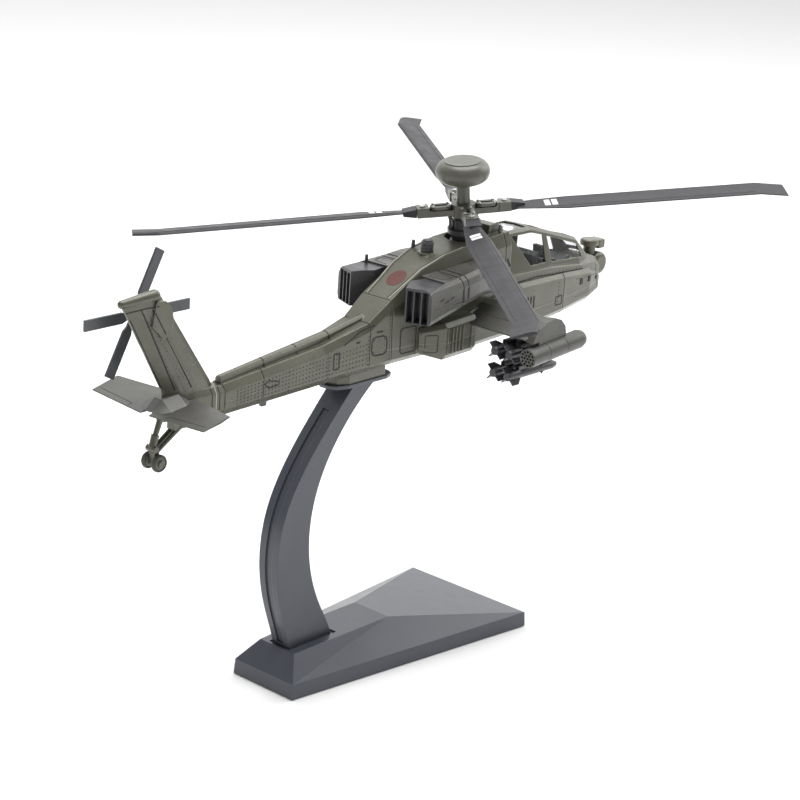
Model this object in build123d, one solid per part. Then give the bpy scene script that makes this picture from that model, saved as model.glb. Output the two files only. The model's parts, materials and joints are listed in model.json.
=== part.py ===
from build123d import *

import os
from math import atan2, cos, degrees, hypot, pi, radians, sin

# Toy attack helicopter on its display stand, at 1:64. Millimetres.
# The part's frame: origin at the centre of the stand's underside, +X towards the nose, +Y to port, +Z up.
# The helicopter is drawn about its main rotor hub, so its x and z are offsets from HUB.

HUB = (34.25, 0.0, 154.0)
MAST_TILT = 7.9             # the rotor axis leans back by this many degrees
ROTOR_RADIUS = 114.0
BLADE_AZIMUTH = -38.7       # of the first main blade, from +X towards +Y
BLADE_LEAD = (-0.2, 1.8, -1.2, 0.1)     # how far each blade has turned about its own pin, in degrees
BLADE_PITCH = 7.0
BLADE_CHORD = 8.8
BLADE_ROOT_CHORD = 5.4
BLADE_THICK = 1.5
BLADE_DROOP = 0.9
BLADE_PIN = 14.4            # radius of the pin that holds the blade's tongue
BLADE_ROOT = 16.7           # where the blade leaves the hub's socket
BLADE_FULL = 36.0           # where the blade reaches its full chord
BLADE_SWEEP = 105.0         # where the swept tip starts
WALL = 1.5
RUNNING = 0.05              # radial clearance of a turning pin
GROOVE_WIDE = 0.36
GROOVE_DEEP = 0.22

TAIL_HUB = (-141.5, 9.3, -16.05)
TAIL_RADIUS = 21.1
TAIL_CHORD = 3.5
TAIL_SCISSOR = 62.6         # angle between the two tail blade pairs

STUB_TIP = 41.4             # half-span of the stub wings
POD_Y = 41.0
POD_RADIUS = 3.3
POD_REAR = (-10.5, -42.3)
POD_FRONT = (19.2, -40.1)
PORT_POD_SHIFT = 9.4        # the port pod sits this much further forward
MISSILE_Y = (27.6, 33.9)
MISSILE_Z = (-42.6, -50.4)
MISSILE_RADIUS = 1.55
MISSILE_REAR = -12.0
MISSILE_LENGTH = 27.5
LAUNCHER_Y = sum(MISSILE_Y) / 2

WHEEL = (25.5, 15.9, -53.5)  # port main wheel centre
WHEEL_RADIUS = 5.8
WHEEL_WIDE = 4.4
TAIL_WHEEL = (-141.0, 2.3, -61.0)
TAIL_WHEEL_RADIUS = 2.8
TAIL_WHEEL_WIDE = 1.7
GUN_PIVOT = (43.0, -44.0)
TURRET = (79.2, -31.0)

BASE_REAR, BASE_FRONT = -54.11, 54.11
BASE_REAR_HALF, BASE_FRONT_HALF = 14.0, 27.5
BASE_SIDE = 5.35            # height of the side wall
BASE_TOP = 12.9             # height of the plateau
PLATEAU_REAR, PLATEAU_FRONT, PLATEAU_HALF = -47.9, -0.5, 8.0
COVER_THICK = 1.6
SLOT_REAR, SLOT_FRONT, SLOT_HALF = -46.8, -23.9, 4.9
ARM_FOOT_HALF, ARM_HEAD_HALF = 3.7, 5.0
ARM_GROOVE = 0.6
PLATE_HALVES = ((-31.8, 1.8), (-30.2, 4.2), (-26.0, 5.8), (-7.0, 5.8), (-3.6, 4.6), (-2.4, 2.4))
PAD_HALVES = ((-30.2, 1.2), (-28.8, 3.5), (-25.0, 5.3), (-7.6, 5.3))
PLATE_LOW, PLATE_TOP = 101.7, 102.9
PEG_X, PEG_RADIUS, PEG_TALL = -20.0, 2.0, 5.9

# Fuselage stations: x, then the half-width and z of deck, shoulder, chine and keel.
REAR_STATIONS = (
    (-115.0, 2.2, -40.6, 3.7, -43.0, 3.7, -48.6, 2.4, -50.8),
    (-72.0, 3.7, -35.8, 5.5, -38.2, 5.5, -46.6, 3.9, -48.9),
    (-52.0, 5.5, -31.2, 6.8, -33.6, 6.9, -45.6, 5.2, -47.8),
    (-42.5, 6.3, -24.7, 7.5, -27.6, 8.2, -45.0, 6.0, -47.2),
    (-35.0, 6.1, -20.4, 8.0, -24.8, 8.6, -44.9, 6.5, -47.0),
    (-28.0, 6.7, -16.2, 8.4, -21.6, 9.0, -44.8, 6.9, -46.8),
    (-18.0, 7.5, -12.8, 9.0, -17.6, 9.5, -44.6, 7.5, -46.6),
    (-6.0, 7.9, -10.8, 9.3, -15.0, 9.7, -44.4, 7.5, -46.4),
    (17.0, 7.4, -9.0, 9.3, -13.6, 9.7, -43.6, 7.5, -45.6),
)
FRONT_STATIONS = (
    (10.0, 8.9, -24.0, 9.6, -25.0, 9.7, -43.8, 7.5, -45.8),
    (42.0, 8.6, -24.8, 9.4, -25.8, 9.5, -42.2, 7.2, -44.2),
    (62.0, 7.4, -26.8, 8.4, -28.0, 8.6, -40.8, 6.4, -42.6),
    (69.0, 5.0, -25.4, 7.4, -28.2, 7.9, -40.2, 5.8, -41.8),
    (75.0, 4.2, -27.6, 6.4, -30.4, 6.7, -38.6, 4.8, -40.4),
)
NOSE = FRONT_STATIONS[-1][0]
# Side fairings under the cockpit and wing: x, half-width, top z, bottom z.
FAIRING_STATIONS = (
    (-30.5, 9.9, -36.0, -44.6),
    (-21.5, 14.5, -34.6, -47.7),
    (-6.0, 14.5, -33.9, -47.2),
    (-5.4, 11.8, -33.9, -47.1),
    (22.0, 11.8, -28.2, -45.8),
    (48.0, 11.0, -28.6, -43.6),
    (66.0, 9.4, -29.8, -41.8),
    (74.0, 7.5, -32.4, -40.4),
)
# Engine cowls: x, inner and outer y, top z, bottom z.
NACELLE_STATIONS = (
    (-43.5, 7.4, 21.6, -18.9, -32.6),
    (-19.4, 8.0, 20.2, -17.2, -27.9),
    (-12.0, 8.3, 19.6, -16.3, -26.6),
    (-1.0, 8.6, 17.9, -16.0, -26.2),
    (8.5, 9.0, 15.6, -17.0, -25.8),
)
COWL_CUT = ((-29.0, 18.2), (-30.3, 18.5), (-38.9, 20.4))     # where the exhaust duct meets the cowl's skin
DUCT_INNER = ((-42.2, 12.4), (-34.9, 8.2), (-29.0, 9.2))
DUCT_TOP, DUCT_LOW = -18.6, -30.9
# The seam between the upper body and the belly pan, as (x, z) points.
SEAM = ((-116.0, -46.3), (-45.0, -41.6), (-20.0, -41.6), (40.0, -38.4), (76.0, -35.6))
PANEL_X = (-99.0, -52.0, -42.5, 1.0, 14.0)      # panel joints round the rear hull
NOSE_PANEL_X = (47.8, 72.0)
SCREWS = ((-64.0, 0.0), (-30.0, 0.0), (12.0, 5.0), (12.0, -5.0), (66.0, 0.0))
SCREW_RADIUS, SCREW_HEAD, BOSS_RADIUS = 0.9, 1.7, 2.5

# Canopy: x, half-width and z of the top rail, half-width and z of the sill.
CANOPY_STATIONS = (
    (17.1, 6.0, -9.9, 9.0, -24.0),
    (31.0, 6.2, -10.0, 8.9, -24.4),
    (40.0, 6.2, -12.4, 8.7, -24.7),
    (60.0, 5.6, -18.2, 7.6, -26.4),
    (68.6, 4.4, -24.9, 5.4, -26.0),
)
GLASS = 0.45
SIDE_WINDOWS = (
    ((19.8, -11.6), (31.0, -11.7), (37.6, -13.4), (38.4, -23.2), (29.4, -23.2)),
    ((40.2, -14.2), (59.4, -19.9), (62.6, -25.0), (42.2, -23.6)),
)
TOP_WINDOWS = (             # rear, front, half-width
    (18.8, 29.6, 5.2), (31.8, 38.8, 5.2), (41.0, 58.8, 4.8), (61.2, 66.8, 3.6),
)

STANDING = (Align.CENTER, Align.CENTER, Align.MIN)


# ---------------------------------------------------------------- helpers

def across(x, outline):
    """A face in the plane X = x, through (y, z) points."""
    return Face(Wire.make_polygon([Vector(x, y, z) for y, z in outline]))


def lengthwise(y, outline):
    """A face in the plane Y = y, through (x, z) points."""
    return Face(Wire.make_polygon([Vector(x, y, z) for x, z in outline]))


def prism_y(outline, low, high):
    """The (x, z) outline carried from y = low to y = high."""
    return extrude(lengthwise(low, outline), high - low, dir=(0, 1, 0))


def prism_z(outline, low, high):
    """The (x, y) outline carried from z = low to z = high."""
    face = Face(Wire.make_polygon([Vector(x, y, low) for x, y in outline]))
    return extrude(face, high - low, dir=(0, 0, 1))


def block(x, y, z):
    """A box from three (low, high) pairs."""
    size = [high - low for low, high in (x, y, z)]
    centre = [(high + low) / 2 for low, high in (x, y, z)]
    return Pos(*centre) * Box(*size)


def rod(start, end, radius, end_radius=None):
    """A round bar, or a cone, between two points."""
    span = Vector(*end) - Vector(*start)
    plane = Plane(origin=start, z_dir=span)
    if end_radius is None:
        return plane * Cylinder(radius, span.length, align=STANDING)
    return plane * Cone(radius, end_radius, span.length, align=STANDING)


def capsule(start, end, radius, end_radius):
    """A bar with round ends; the ends' centres are the two points."""
    span = Vector(*end) - Vector(*start)
    long, slant = span.length, sin(radians(45))
    lower = ThreePointArc((0, 0, -radius), (radius * slant, 0, -radius * slant), (radius, 0, 0))
    upper = ThreePointArc((end_radius, 0, long), (end_radius * slant, 0, long + end_radius * slant),
                          (0, 0, long + end_radius))
    outline = Wire([lower, Line((radius, 0, 0), (end_radius, 0, long)), upper,
                    Line((0, 0, long + end_radius), (0, 0, -radius))])
    return Plane(origin=start, z_dir=span) * revolve(Face(outline), Axis.Z, 360)


def largest(shape):
    """The biggest solid, without the crumbs that a cut can leave."""
    return max(shape.solids(), key=lambda solid: solid.volume)


def port_and_starboard(name, shape, table):
    """Files a port piece and its mirror image."""
    table[name + "_left"] = shape
    table[name + "_right"] = mirror(shape, about=Plane.XZ)


def turned(profile):
    """A solid of revolution about Z from (radius, z) points."""
    face = Face(Wire.make_polygon([Vector(r, 0, z) for r, z in profile]))
    return revolve(face, Axis.Z, 360)


def on_mast(shape):
    """Carries a piece drawn about an upright mast to the leaning one."""
    return Rot(0, -MAST_TILT, 0) * shape


# ---------------------------------------------------------------- fuselage

def hull_ring(station, inset):
    x, deck, z_deck, shoulder, z_shoulder, chine, z_chine, keel, z_keel = station
    side = [
        (deck - inset, z_deck - inset),
        (shoulder - inset, z_shoulder - inset * 0.4),
        (chine - inset, z_chine + inset * 0.4),
        (keel - inset, z_keel + inset),
    ]
    return across(x, side + [(-y, z) for y, z in reversed(side)])


def hull(stations, inset=0.0):
    return loft([hull_ring(station, inset) for station in stations], ruled=True)


def fairing_ring(station, side, inset=0.0):
    x, half, top, low = station
    out = half - inset
    points = [
        (4.0, top - inset),
        (out - 1.3, top - inset),
        (out, top - 1.5 - inset),
        (out, low + 2.0 + inset),
        (out - 1.6, low + inset),
        (4.0, low + inset),
    ]
    return across(x, [(side * y, z) for y, z in points])


def fairing(side, inset=0.0):
    return loft([fairing_ring(s, side, inset) for s in FAIRING_STATIONS], ruled=True)


def drive_tunnel():
    """The raised cover of the tail drive shaft along the top of the boom."""
    rings = []
    for x, half, top, foot in (
        (-115.0, 1.3, -38.4, -42.0), (-66.0, 1.9, -32.2, -36.5), (-50.0, 1.9, -29.2, -33.0),
    ):
        rings.append(across(x, [(-half, foot), (-half, top - 0.9), (-half * 0.45, top), (half * 0.45, top),
                                (half, top - 0.9), (half, foot)]))
    return loft(rings, ruled=True)


def roof_fairing():
    """The box fairing on the roof between the mast and the canopy."""
    profile = [(8.6, -10.5), (9.2, -6.4), (12.4, -6.0), (16.4, -7.6), (16.9, -10.5)]
    return prism_y(profile, -5.0, 5.0)


def beacon_plinth():
    """The eight-sided flange under the beacon, with a low wedge behind it."""
    outline = [(-26.0, -17.2), (-21.4, -14.0), (-20.6, -13.4), (-15.2, -12.6), (-14.4, -13.6), (-14.4, -15.4)]
    flange = Pos(-18.0, 0, -13.5) * extrude(RegularPolygon(3.4, 8), 0.7)
    return prism_y(outline, -2.8, 2.8) + flange


def outer_body():
    """The whole outside of the fuselage as one solid."""
    body = hull(REAR_STATIONS) + hull(FRONT_STATIONS)
    for side in (1, -1):
        body += fairing(side)
    return body + drive_tunnel() + roof_fairing() + beacon_plinth()


def cut_panels(body):
    """Shallow grooves where the real panels meet."""
    core = hull(REAR_STATIONS, GROOVE_DEEP)
    for x in PANEL_X:
        ring = block((x - GROOVE_WIDE / 2, x + GROOVE_WIDE / 2), (-9.9, 9.9), (-55, -8)) - core
        for side in (1, -1):
            ring -= fairing(side)
        body -= ring - drive_tunnel() if x < -50 else ring
    nose = hull(FRONT_STATIONS, GROOVE_DEEP)
    for side in (1, -1):
        nose += fairing(side, GROOVE_DEEP)
    for x in NOSE_PANEL_X:
        slab = block((x - GROOVE_WIDE / 2, x + GROOVE_WIDE / 2), (-20, 20), (-50, -28.4))
        body -= slab - nose
    return body


def body_cavity():
    rear = [list(station) for station in REAR_STATIONS]
    rear[0][0], rear[-1][0] = -108.0, 15.5
    return hull(rear, WALL) + hull(FRONT_STATIONS[:-1], WALL)


def mast_tube(radius, low, high):
    return on_mast(Pos(0, 0, low) * Cylinder(radius, high - low, align=STANDING))


def bosses(low, high):
    """Round posts that the body screws bite into."""
    return [Pos(x, y, low) * Cylinder(BOSS_RADIUS, high - low, align=STANDING) for x, y in SCREWS]


def fuselage():
    """The upper body and the belly pan, and the screws that join them."""
    outside = outer_body()
    solid = cut_panels(outside)
    cavity = body_cavity()
    for post in bosses(-60, -20):
        cavity -= post
    cavity -= mast_tube(4.6, -31.5, -8.0)
    shell = solid - cavity - tail_spigot(0.02)
    shell -= block((18.4, 60.6), (-7.9, 7.9), (-36.6, -8))
    shell -= mast_tube(6.9, -16.4, 2.0)
    shell -= mast_tube(2.6, -34.0, 0.0)
    for x, y in SCREWS:
        shell -= Pos(x, y, keel_z(x)) * Cylinder(SCREW_RADIUS, 22.0)
    lid = [(-116.0, 0.0)] + list(SEAM) + [(76.0, 0.0)]
    upper = shell & prism_y(lid, -25, 25)
    belly = shell - prism_y(lid, -25, 25)
    shafts = []
    for x, y in SCREWS:
        keel = keel_z(x)
        belly -= Pos(x, y, keel) * Cylinder(SCREW_HEAD + 0.1, 2.4)
        belly -= Pos(x, y, keel) * Cylinder(SCREW_RADIUS + 0.15, 40.0)
        shafts.append(screw(x, y, keel + 1.2, 9.0))
    belly -= Pos(GUN_PIVOT[0], 0, GUN_PIVOT[1]) * Cylinder(1.6 + RUNNING, 10.0)
    peg_x = PEG_X - HUB[0]
    belly -= Pos(peg_x, 0, -47) * Cylinder(PEG_RADIUS + 0.1, 8.0)
    return outside, largest(upper), largest(belly), Compound(children=shafts)


def keel_z(x):
    """Height of the keel at x, between the stations."""
    rows = [s for s in REAR_STATIONS if s[0] <= 10] + list(FRONT_STATIONS)
    for low, high in zip(rows, rows[1:]):
        if low[0] <= x <= high[0]:
            share = (x - low[0]) / (high[0] - low[0])
            return low[8] + share * (high[8] - low[8])
    return rows[-1][8]


def screw(x, y, seat, length):
    """A countersunk cross-head screw pointing up, its head below the seat."""
    shank = SCREW_RADIUS - 0.02
    body = turned([(0, seat - 1.1), (SCREW_HEAD, seat - 1.1), (SCREW_HEAD, seat - 0.6), (shank, seat),
                   (shank, seat + length - 1), (0, seat + length)])
    for turn in (0, 90):
        body -= Pos(0, 0, seat - 1.1) * Rot(0, 0, turn) * Box(2.0, 0.4, 0.8)
    return Pos(x, y, 0) * body


# ---------------------------------------------------------------- tail

def tail_spigot(gap):
    """The tongue of the tail casting that plugs into the boom."""
    return block((-115.6, -109.0 + gap), (-1.7 - gap, 1.7 + gap), (-47.6 - gap, -43.4 + gap))


def tail_fin():
    """The tail cone, the swept fin with its gearbox bulge and its cap, in one casting."""
    rings = []
    for x, half, top, low in (
        (-139.6, 1.6, -43.6, -48.4), (-133.6, 2.2, -42.2, -49.2), (-127.0, 2.6, -40.8, -50.0),
        (-115.1, 3.5, -40.9, -50.5),
    ):
        rings.append(across(x, [(-half * 0.6, top), (-half, top - 2.0), (-half, low + 1.8), (-half * 0.6, low),
                                (half * 0.6, low), (half, low + 1.8), (half, top - 2.0), (half * 0.6, top)]))
    tail = loft(rings, ruled=True)
    tail += tail_spigot(0.0)
    tail += fin_blade()
    tail += capsule((-155.7, 0, -8.6), (-142.9, 0, -7.9), 1.3, 1.9)
    bulge = prism_y([(-143.5, -9.4), (-139.9, -9.6), (-137.3, -12.0), (-136.3, -16.6), (-137.4, -20.2),
                     (-140.4, -21.6), (-145.0, -17.0)], -2.0, 2.0)
    tail += fillet(bulge.edges().filter_by(Axis.Y), 0.9)
    x, y, z = TAIL_HUB
    tail += rod((x, 1.0, z), (x, 6.6, z), 2.1, 1.6)
    tail -= rod((x, -1.6, z), (x, 8.0, z), 0.8 + RUNNING)
    for low_x, top_x in ((-134.1, -149.1), (-127.8, -145.2)):
        for side in (1, -1):
            start = Vector(low_x, side * 1.62, -39.4)
            end = Vector(top_x, side * 1.42, -10.8)
            tail -= rod(start, end, 0.17)
    return tail


def fin_blade():
    """The fin's airfoil, thickest a third of the way back."""
    rings = []
    for z, nose, rear, half in (
        (-43.0, -116.8, -138.0, 1.8), (-38.6, -119.2, -138.6, 1.7), (-7.6, -141.0, -156.8, 1.4),
    ):
        third = nose + (rear - nose) * 0.35
        late = nose + (rear - nose) * 0.7
        points = [(nose, 0.3), (nose + 0.12 * (rear - nose), half * 0.8), (third, half), (late, half * 0.75),
                  (rear, 0.35)]
        points += [(x, -y) for x, y in reversed(points)]
        rings.append(Face(Wire.make_polygon([Vector(x, y, z) for x, y in points])))
    return loft(rings, ruled=True)


def stabilator():
    """The tail plane, in one piece from tip to tip."""
    rings = []
    for y, nose, rear, z_nose, z_rear, thick in (
        (-25.0, -133.6, -144.6, -41.3, -43.7, 0.9),
        (-3.0, -126.2, -145.4, -43.4, -44.7, 1.6),
        (3.0, -126.2, -145.4, -43.4, -44.7, 1.6),
        (25.0, -133.6, -144.6, -41.3, -43.7, 0.9),
    ):
        mid_x, mid_z = nose * 0.65 + rear * 0.35, z_nose * 0.65 + z_rear * 0.35
        late_x, late_z = nose * 0.25 + rear * 0.75, z_nose * 0.25 + z_rear * 0.75
        rings.append(lengthwise(y, [
            (nose, z_nose), (nose - 0.9, z_nose + thick * 0.34), (mid_x, mid_z + thick / 2),
            (late_x, late_z + thick * 0.3), (rear, z_rear + 0.2), (rear, z_rear - 0.2),
            (late_x, late_z - thick * 0.3), (mid_x, mid_z - thick / 2), (nose - 0.9, z_nose - thick * 0.34),
        ]))
    plane = loft(rings, ruled=True)
    hump = []
    for x, low_half, top_half, edge, top in (
        (-145.2, 2.6, 0.8, -44.9, -44.5), (-142.6, 5.0, 1.3, -44.3, -42.7), (-140.0, 6.4, 1.7, -43.8, -40.8),
        (-133.4, 6.4, 1.9, -43.2, -40.3), (-130.2, 4.6, 2.0, -43.4, -42.4),
    ):
        hump.append(across(x, [(-low_half, edge), (-top_half, top), (top_half, top), (low_half, edge)]))
    plane += loft(hump, ruled=True)
    return plane - block((-146, -142.4), (-1.9, 1.9), (-50, -44.0))


def tail_gear():
    """The tail wheel's trailing arm, its shock strut and the axle, as one moulding."""
    x, y, z = TAIL_WHEEL
    gear = block((-134.5, -129.0), (-1.7, 1.7), (-52.0, -49.2))
    gear += rod((-131.4, 1.1, -51.2), (x, 1.0, z + 3.4), 0.85, 0.7)
    gear += rod((-131.4, -1.1, -51.2), (x, -1.0, z + 3.4), 0.85, 0.7)
    gear += rod((-138.9, 0, -47.6), (-141.9, 0, -55.4), 1.0, 0.8)
    gear += rod((-140.8, 0, -52.4), (-141.9, 0, -56.2), 1.25)
    gear += rod((-142.0, -2.0, -56.6), (-142.0, 2.0, -56.6), 1.0)
    gear += block((x - 1.1, x + 0.9), (-1.35, 1.35), (z - 0.9, z + 4.8))
    gear += rod((x, -y - 1.35, z), (x, y + 1.35, z), 0.6)
    return gear


def tail_wheels():
    x, y, z = TAIL_WHEEL
    half = TAIL_WHEEL_WIDE / 2
    wheel = turned([(0.6 + RUNNING, -half), (1.3, -half), (1.5, -half + 0.25), (2.1, -half + 0.25), (2.3, -half),
                    (2.5, -half), (TAIL_WHEEL_RADIUS, -half + 0.5), (TAIL_WHEEL_RADIUS, half - 0.5), (2.5, half),
                    (2.3, half), (2.1, half - 0.25), (1.5, half - 0.25), (1.3, half), (0.6 + RUNNING, half)])
    upright = Rot(90, 0, 0) * wheel
    return Compound(children=[Pos(x, side * y, z) * upright for side in (1, -1)])


def tail_blade_pair(y, angle):
    """Two opposite tail blades: narrow necks that widen into square-ended blades."""
    neck, full = 4.6, 6.4
    outline = [(-1.0, 0.0), (-1.0, neck), (-TAIL_CHORD / 2, full), (-TAIL_CHORD / 2, TAIL_RADIUS),
               (TAIL_CHORD / 2, TAIL_RADIUS), (TAIL_CHORD / 2, full), (1.0, neck), (1.0, 0.0)]
    blade = prism_y(outline, -0.4, 0.4)
    pair = blade + Rot(0, 180, 0) * blade
    pair -= Rot(90, 0, 0) * Cylinder(0.82, 4)
    x, _, z = TAIL_HUB
    return Pos(x, y, z) * Rot(0, angle, 0) * pair


def tail_rotor(table):
    x, y, z = TAIL_HUB
    first, second = y - 0.75, y + 0.75
    table["tail_rotor_shaft"] = rod((x, -1.2, z), (x, y + 2.0, z), 0.8)
    table["tail_blades_inner"] = tail_blade_pair(first, 90.0)
    table["tail_blades_outer"] = tail_blade_pair(second, 90.0 - TAIL_SCISSOR)
    hub = rod((x, first - 1.6, z), (x, first - 0.4, z), 2.2)
    hub += rod((x, first + 0.4, z), (x, second - 0.4, z), 2.2)
    hub += rod((x, second + 0.4, z), (x, second + 1.0, z), 2.2, 1.6)
    hub -= rod((x, 0, z), (x, 20, z), 0.82)
    table["tail_rotor_hub"] = Compound(children=list(hub.solids()))


# ---------------------------------------------------------------- engines

def nacelle_ring(station, inset):
    x, inner, outer, top, low = station
    outer, top, low = outer - inset, top - inset, low + inset
    return across(x, [(inner, top), (outer - 2.6, top - 0.2), (outer - 1.0, top - 1.2), (outer - 0.1, top - 3.2),
                      (outer, low + 2.6), (outer - 0.6, low + 1.0), (outer - 2.0, low + 0.1), (inner, low)])


def nacelle(inset=0.0):
    return loft([nacelle_ring(station, inset) for station in NACELLE_STATIONS], ruled=True)


def engine_nacelle(outside):
    """The port engine cowl, open at the back for the exhaust and with an intake in front."""
    cowl, core = nacelle(), nacelle(0.25)
    for x in (-18.6, -21.4):
        cowl -= block((x - 0.25, x + 0.25), (5, 25), (-35, -10)) - core
    cowl -= block((-38.0, -1.5), (18.0, 25.0), (-25.6, -25.35)) - core
    cowl -= outside
    cowl -= prism_z([(-29.0, 0.0), *COWL_CUT, (-38.2, 24.0), (-50.0, 24.0), (-50.0, 0.0)], -40.0, -10.0)
    cowl -= Pos(7.0, 12.4, -21.9) * Rot(0, 90, 0) * Cylinder(2.7, 5.0)
    return largest(cowl)


def exhaust(outside):
    """The port exhaust duct: a dark box whose canted rear face has three tall slots."""
    duct = prism_z([*COWL_CUT, *DUCT_INNER], DUCT_LOW, DUCT_TOP) & nacelle()
    (rear_x, rear_y), (edge_x, edge_y) = DUCT_INNER[0], COWL_CUT[-1]
    cant = degrees(atan2(edge_x - rear_x, edge_y - rear_y))
    middle = ((rear_x + edge_x) / 2, (rear_y + edge_y) / 2, 0)
    for step in (-1, 0, 1):
        slot = Pos(0, step * 2.65, (DUCT_LOW + DUCT_TOP) / 2 - 0.5) * Box(9.0, 2.15, 10.9)
        duct -= Pos(*middle) * Rot(0, 0, -cant) * slot
    return largest(duct - outside)


def intake_fairing():
    """The gearbox fairing inside the port engine intake."""
    start, shoulder, tip = ((x, 12.4, -21.9) for x in (4.5, 7.4, 10.6))
    return rod(start, shoulder, 1.7) + rod(shoulder, tip, 1.7, 0.7)


# ---------------------------------------------------------------- wings and stores

def pod_body(radius):
    start, end = (POD_REAR[0], POD_Y, POD_REAR[1]), (POD_FRONT[0], POD_Y, POD_FRONT[1])
    return rod(start, end, radius)


def stub_wing(outside):
    """The port stub wing with its rounded tip and its two pylons."""
    rings = []
    for y, nose, rear, top in ((9.0, 12.6, -9.6, -31.2), (38.6, 9.4, -8.8, -31.6)):
        rings.append(lengthwise(y, [
            (nose, top - 3.0), (nose - 1.6, top - 1.2), (nose - 5.0, top), (nose - 10.0, top - 0.6),
            (rear, top - 5.0), (rear, top - 5.5), (rear + 5.0, top - 5.6), (nose - 4.0, top - 5.4),
        ]))
    wing = loft(rings, ruled=True)
    tip = [(9.7, -37.4), (9.0, -34.0), (6.4, -31.4), (2.6, -30.5), (-1.6, -31.2), (-5.2, -33.0),
           (-7.4, -35.2), (-8.6, -37.4)]
    wing += prism_y(tip, 38.4, STUB_TIP)
    wing += block((-5.0, 8.0), (POD_Y - 1.1, STUB_TIP), (-40.5, -37.0))
    wing += block((-4.0, 7.0), (LAUNCHER_Y - 1.1, LAUNCHER_Y + 1.1), (-38.8, -36.0))
    wing -= block((-3.4, -3.15), (16.0, 37.4), (-34.6, -31.0))
    wing -= outside
    wing -= pod_body(POD_RADIUS)
    return largest(wing)


def rocket_pod():
    """The port rocket pod, with nineteen tubes open at each end."""
    length = hypot(POD_FRONT[0] - POD_REAR[0], POD_FRONT[1] - POD_REAR[1])
    pod = turned([(0, 0), (POD_RADIUS, 0), (POD_RADIUS, length - 2.2), (POD_RADIUS - 0.5, length - 0.4),
                  (POD_RADIUS - 0.9, length), (0, length)])
    tubes = [(0.0, 0.0)]
    for count, ring in ((6, 1.25), (12, 2.4)):
        tubes += [(ring * cos(2 * pi * i / count), ring * sin(2 * pi * i / count)) for i in range(count)]
    holes = [Pos(x, y, 0) * Cylinder(0.42, 4.0) for x, y in tubes]
    holes += [Pos(x, y, length) * Cylinder(0.42, 4.0) for x, y in tubes]
    pod -= holes
    for share in (0.3, 0.62):
        band = Pos(0, 0, length * share) * (Cylinder(POD_RADIUS + 1, 0.3) - Cylinder(POD_RADIUS - 0.12, 0.3))
        pod -= band
    start = (POD_REAR[0], POD_Y, POD_REAR[1])
    along = Vector(POD_FRONT[0] - POD_REAR[0], 0, POD_FRONT[1] - POD_REAR[1])
    return Plane(origin=start, x_dir=(0, 1, 0), z_dir=along) * pod


def missile_launcher():
    """The port launcher: a central frame with four rails that the missiles hang from."""
    top = -38.8
    frame = block((-3.0, 8.0), (LAUNCHER_Y - 1.0, LAUNCHER_Y + 1.0), (MISSILE_Z[1] + 1.0, top))
    for z in MISSILE_Z:
        roof = z + MISSILE_RADIUS + 0.02
        frame += block((-1.5, 6.5), (MISSILE_Y[0] - 0.7, MISSILE_Y[1] + 0.7), (roof + 0.9, roof + 1.7))
        for y in MISSILE_Y:
            frame += block((-6.4, 12.0), (y - 0.8, y + 0.8), (roof, roof + 1.4))
    return frame


def missile():
    """One missile along +Z, with swept rear fins and small front ones."""
    length, radius = MISSILE_LENGTH, MISSILE_RADIUS
    body = turned([(0, 0), (radius * 0.8, 0), (radius, 0.5), (radius, length - 3.6), (radius * 0.86, length - 1.8),
                   (radius * 0.55, length - 0.5), (0, length)])
    rear = prism_y([(0.0, 0.6), (3.6, 0.6), (3.6, 3.8), (1.0, 7.2), (0.0, 7.2)], -0.2, 0.2)
    front = prism_y([(0.0, 17.6), (2.3, 17.6), (1.3, 19.8), (0.0, 19.8)], -0.2, 0.2)
    for turn in (45, 135, 225, 315):
        body += Rot(0, 0, turn) * (rear + front)
    return body


def missiles():
    shots = []
    for y in MISSILE_Y:
        for z in MISSILE_Z:
            shots.append(Plane(origin=(MISSILE_REAR, y, z), x_dir=(0, 1, 0), z_dir=(1, 0, 0)) * missile())
    return Compound(children=shots)


# ---------------------------------------------------------------- cockpit

def canopy_envelope(grow):
    rings = []
    for x, rail, z_rail, sill, z_sill in CANOPY_STATIONS:
        half = [(rail + grow, z_rail - 0.9 + grow * 0.5), (rail - 1.0, z_rail + grow), (0.0, z_rail + 0.25 + grow)]
        ring = [(sill + grow, z_sill - 0.6)] + half + [(-y, z) for y, z in reversed(half[:-1])]
        rings.append(across(x, ring + [(-sill - grow, z_sill - 0.6)]))
    return loft(rings, ruled=True)


def canopy(outside):
    """The clear canopy and the painted frame that is laid over it."""
    skin = canopy_envelope(0.0) - canopy_envelope(-GLASS)
    glass = largest(skin - outside - block((10, 17.6), (-10, 10), (-30, 0)))
    frame = canopy_envelope(0.4) - canopy_envelope(0.0)
    for outline in SIDE_WINDOWS:
        frame -= prism_y(outline, -15, 15)
    for rear, front, half in TOP_WINDOWS:
        frame -= block((rear, front), (-half, half), (-30, 0))
    frame = largest(frame - outside - block((10, 17.2), (-12, 12), (-30, 0)))
    return glass, frame


def cockpit_tub():
    """The two-level floor, side consoles, dashboards and bulkhead, in one moulding."""
    tub = block((18.7, 60.2), (-7.6, 7.6), (-36.4, -27.6))
    tub -= block((19.7, 39.0), (-6.6, 6.6), (-35.4, -20))
    tub -= block((40.4, 59.2), (-6.6, 6.6), (-35.4, -20))
    for side in (1, -1):
        for low, high in ((20.0, 39.2), (40.2, 59.4)):
            tub += block((low, high), sorted((side * 4.4, side * 6.8)), (-36.0, -29.6))
    tub += block((38.6, 40.4), (-6.4, 6.4), (-36.0, -22.6))
    tub += prism_y([(36.6, -21.6), (39.0, -20.4), (39.0, -26.6), (37.4, -26.6)], -4.6, 4.6)
    tub += prism_y([(53.6, -26.2), (58.6, -24.6), (59.6, -30.0), (55.0, -30.0)], -4.2, 4.2)
    return tub


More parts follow.
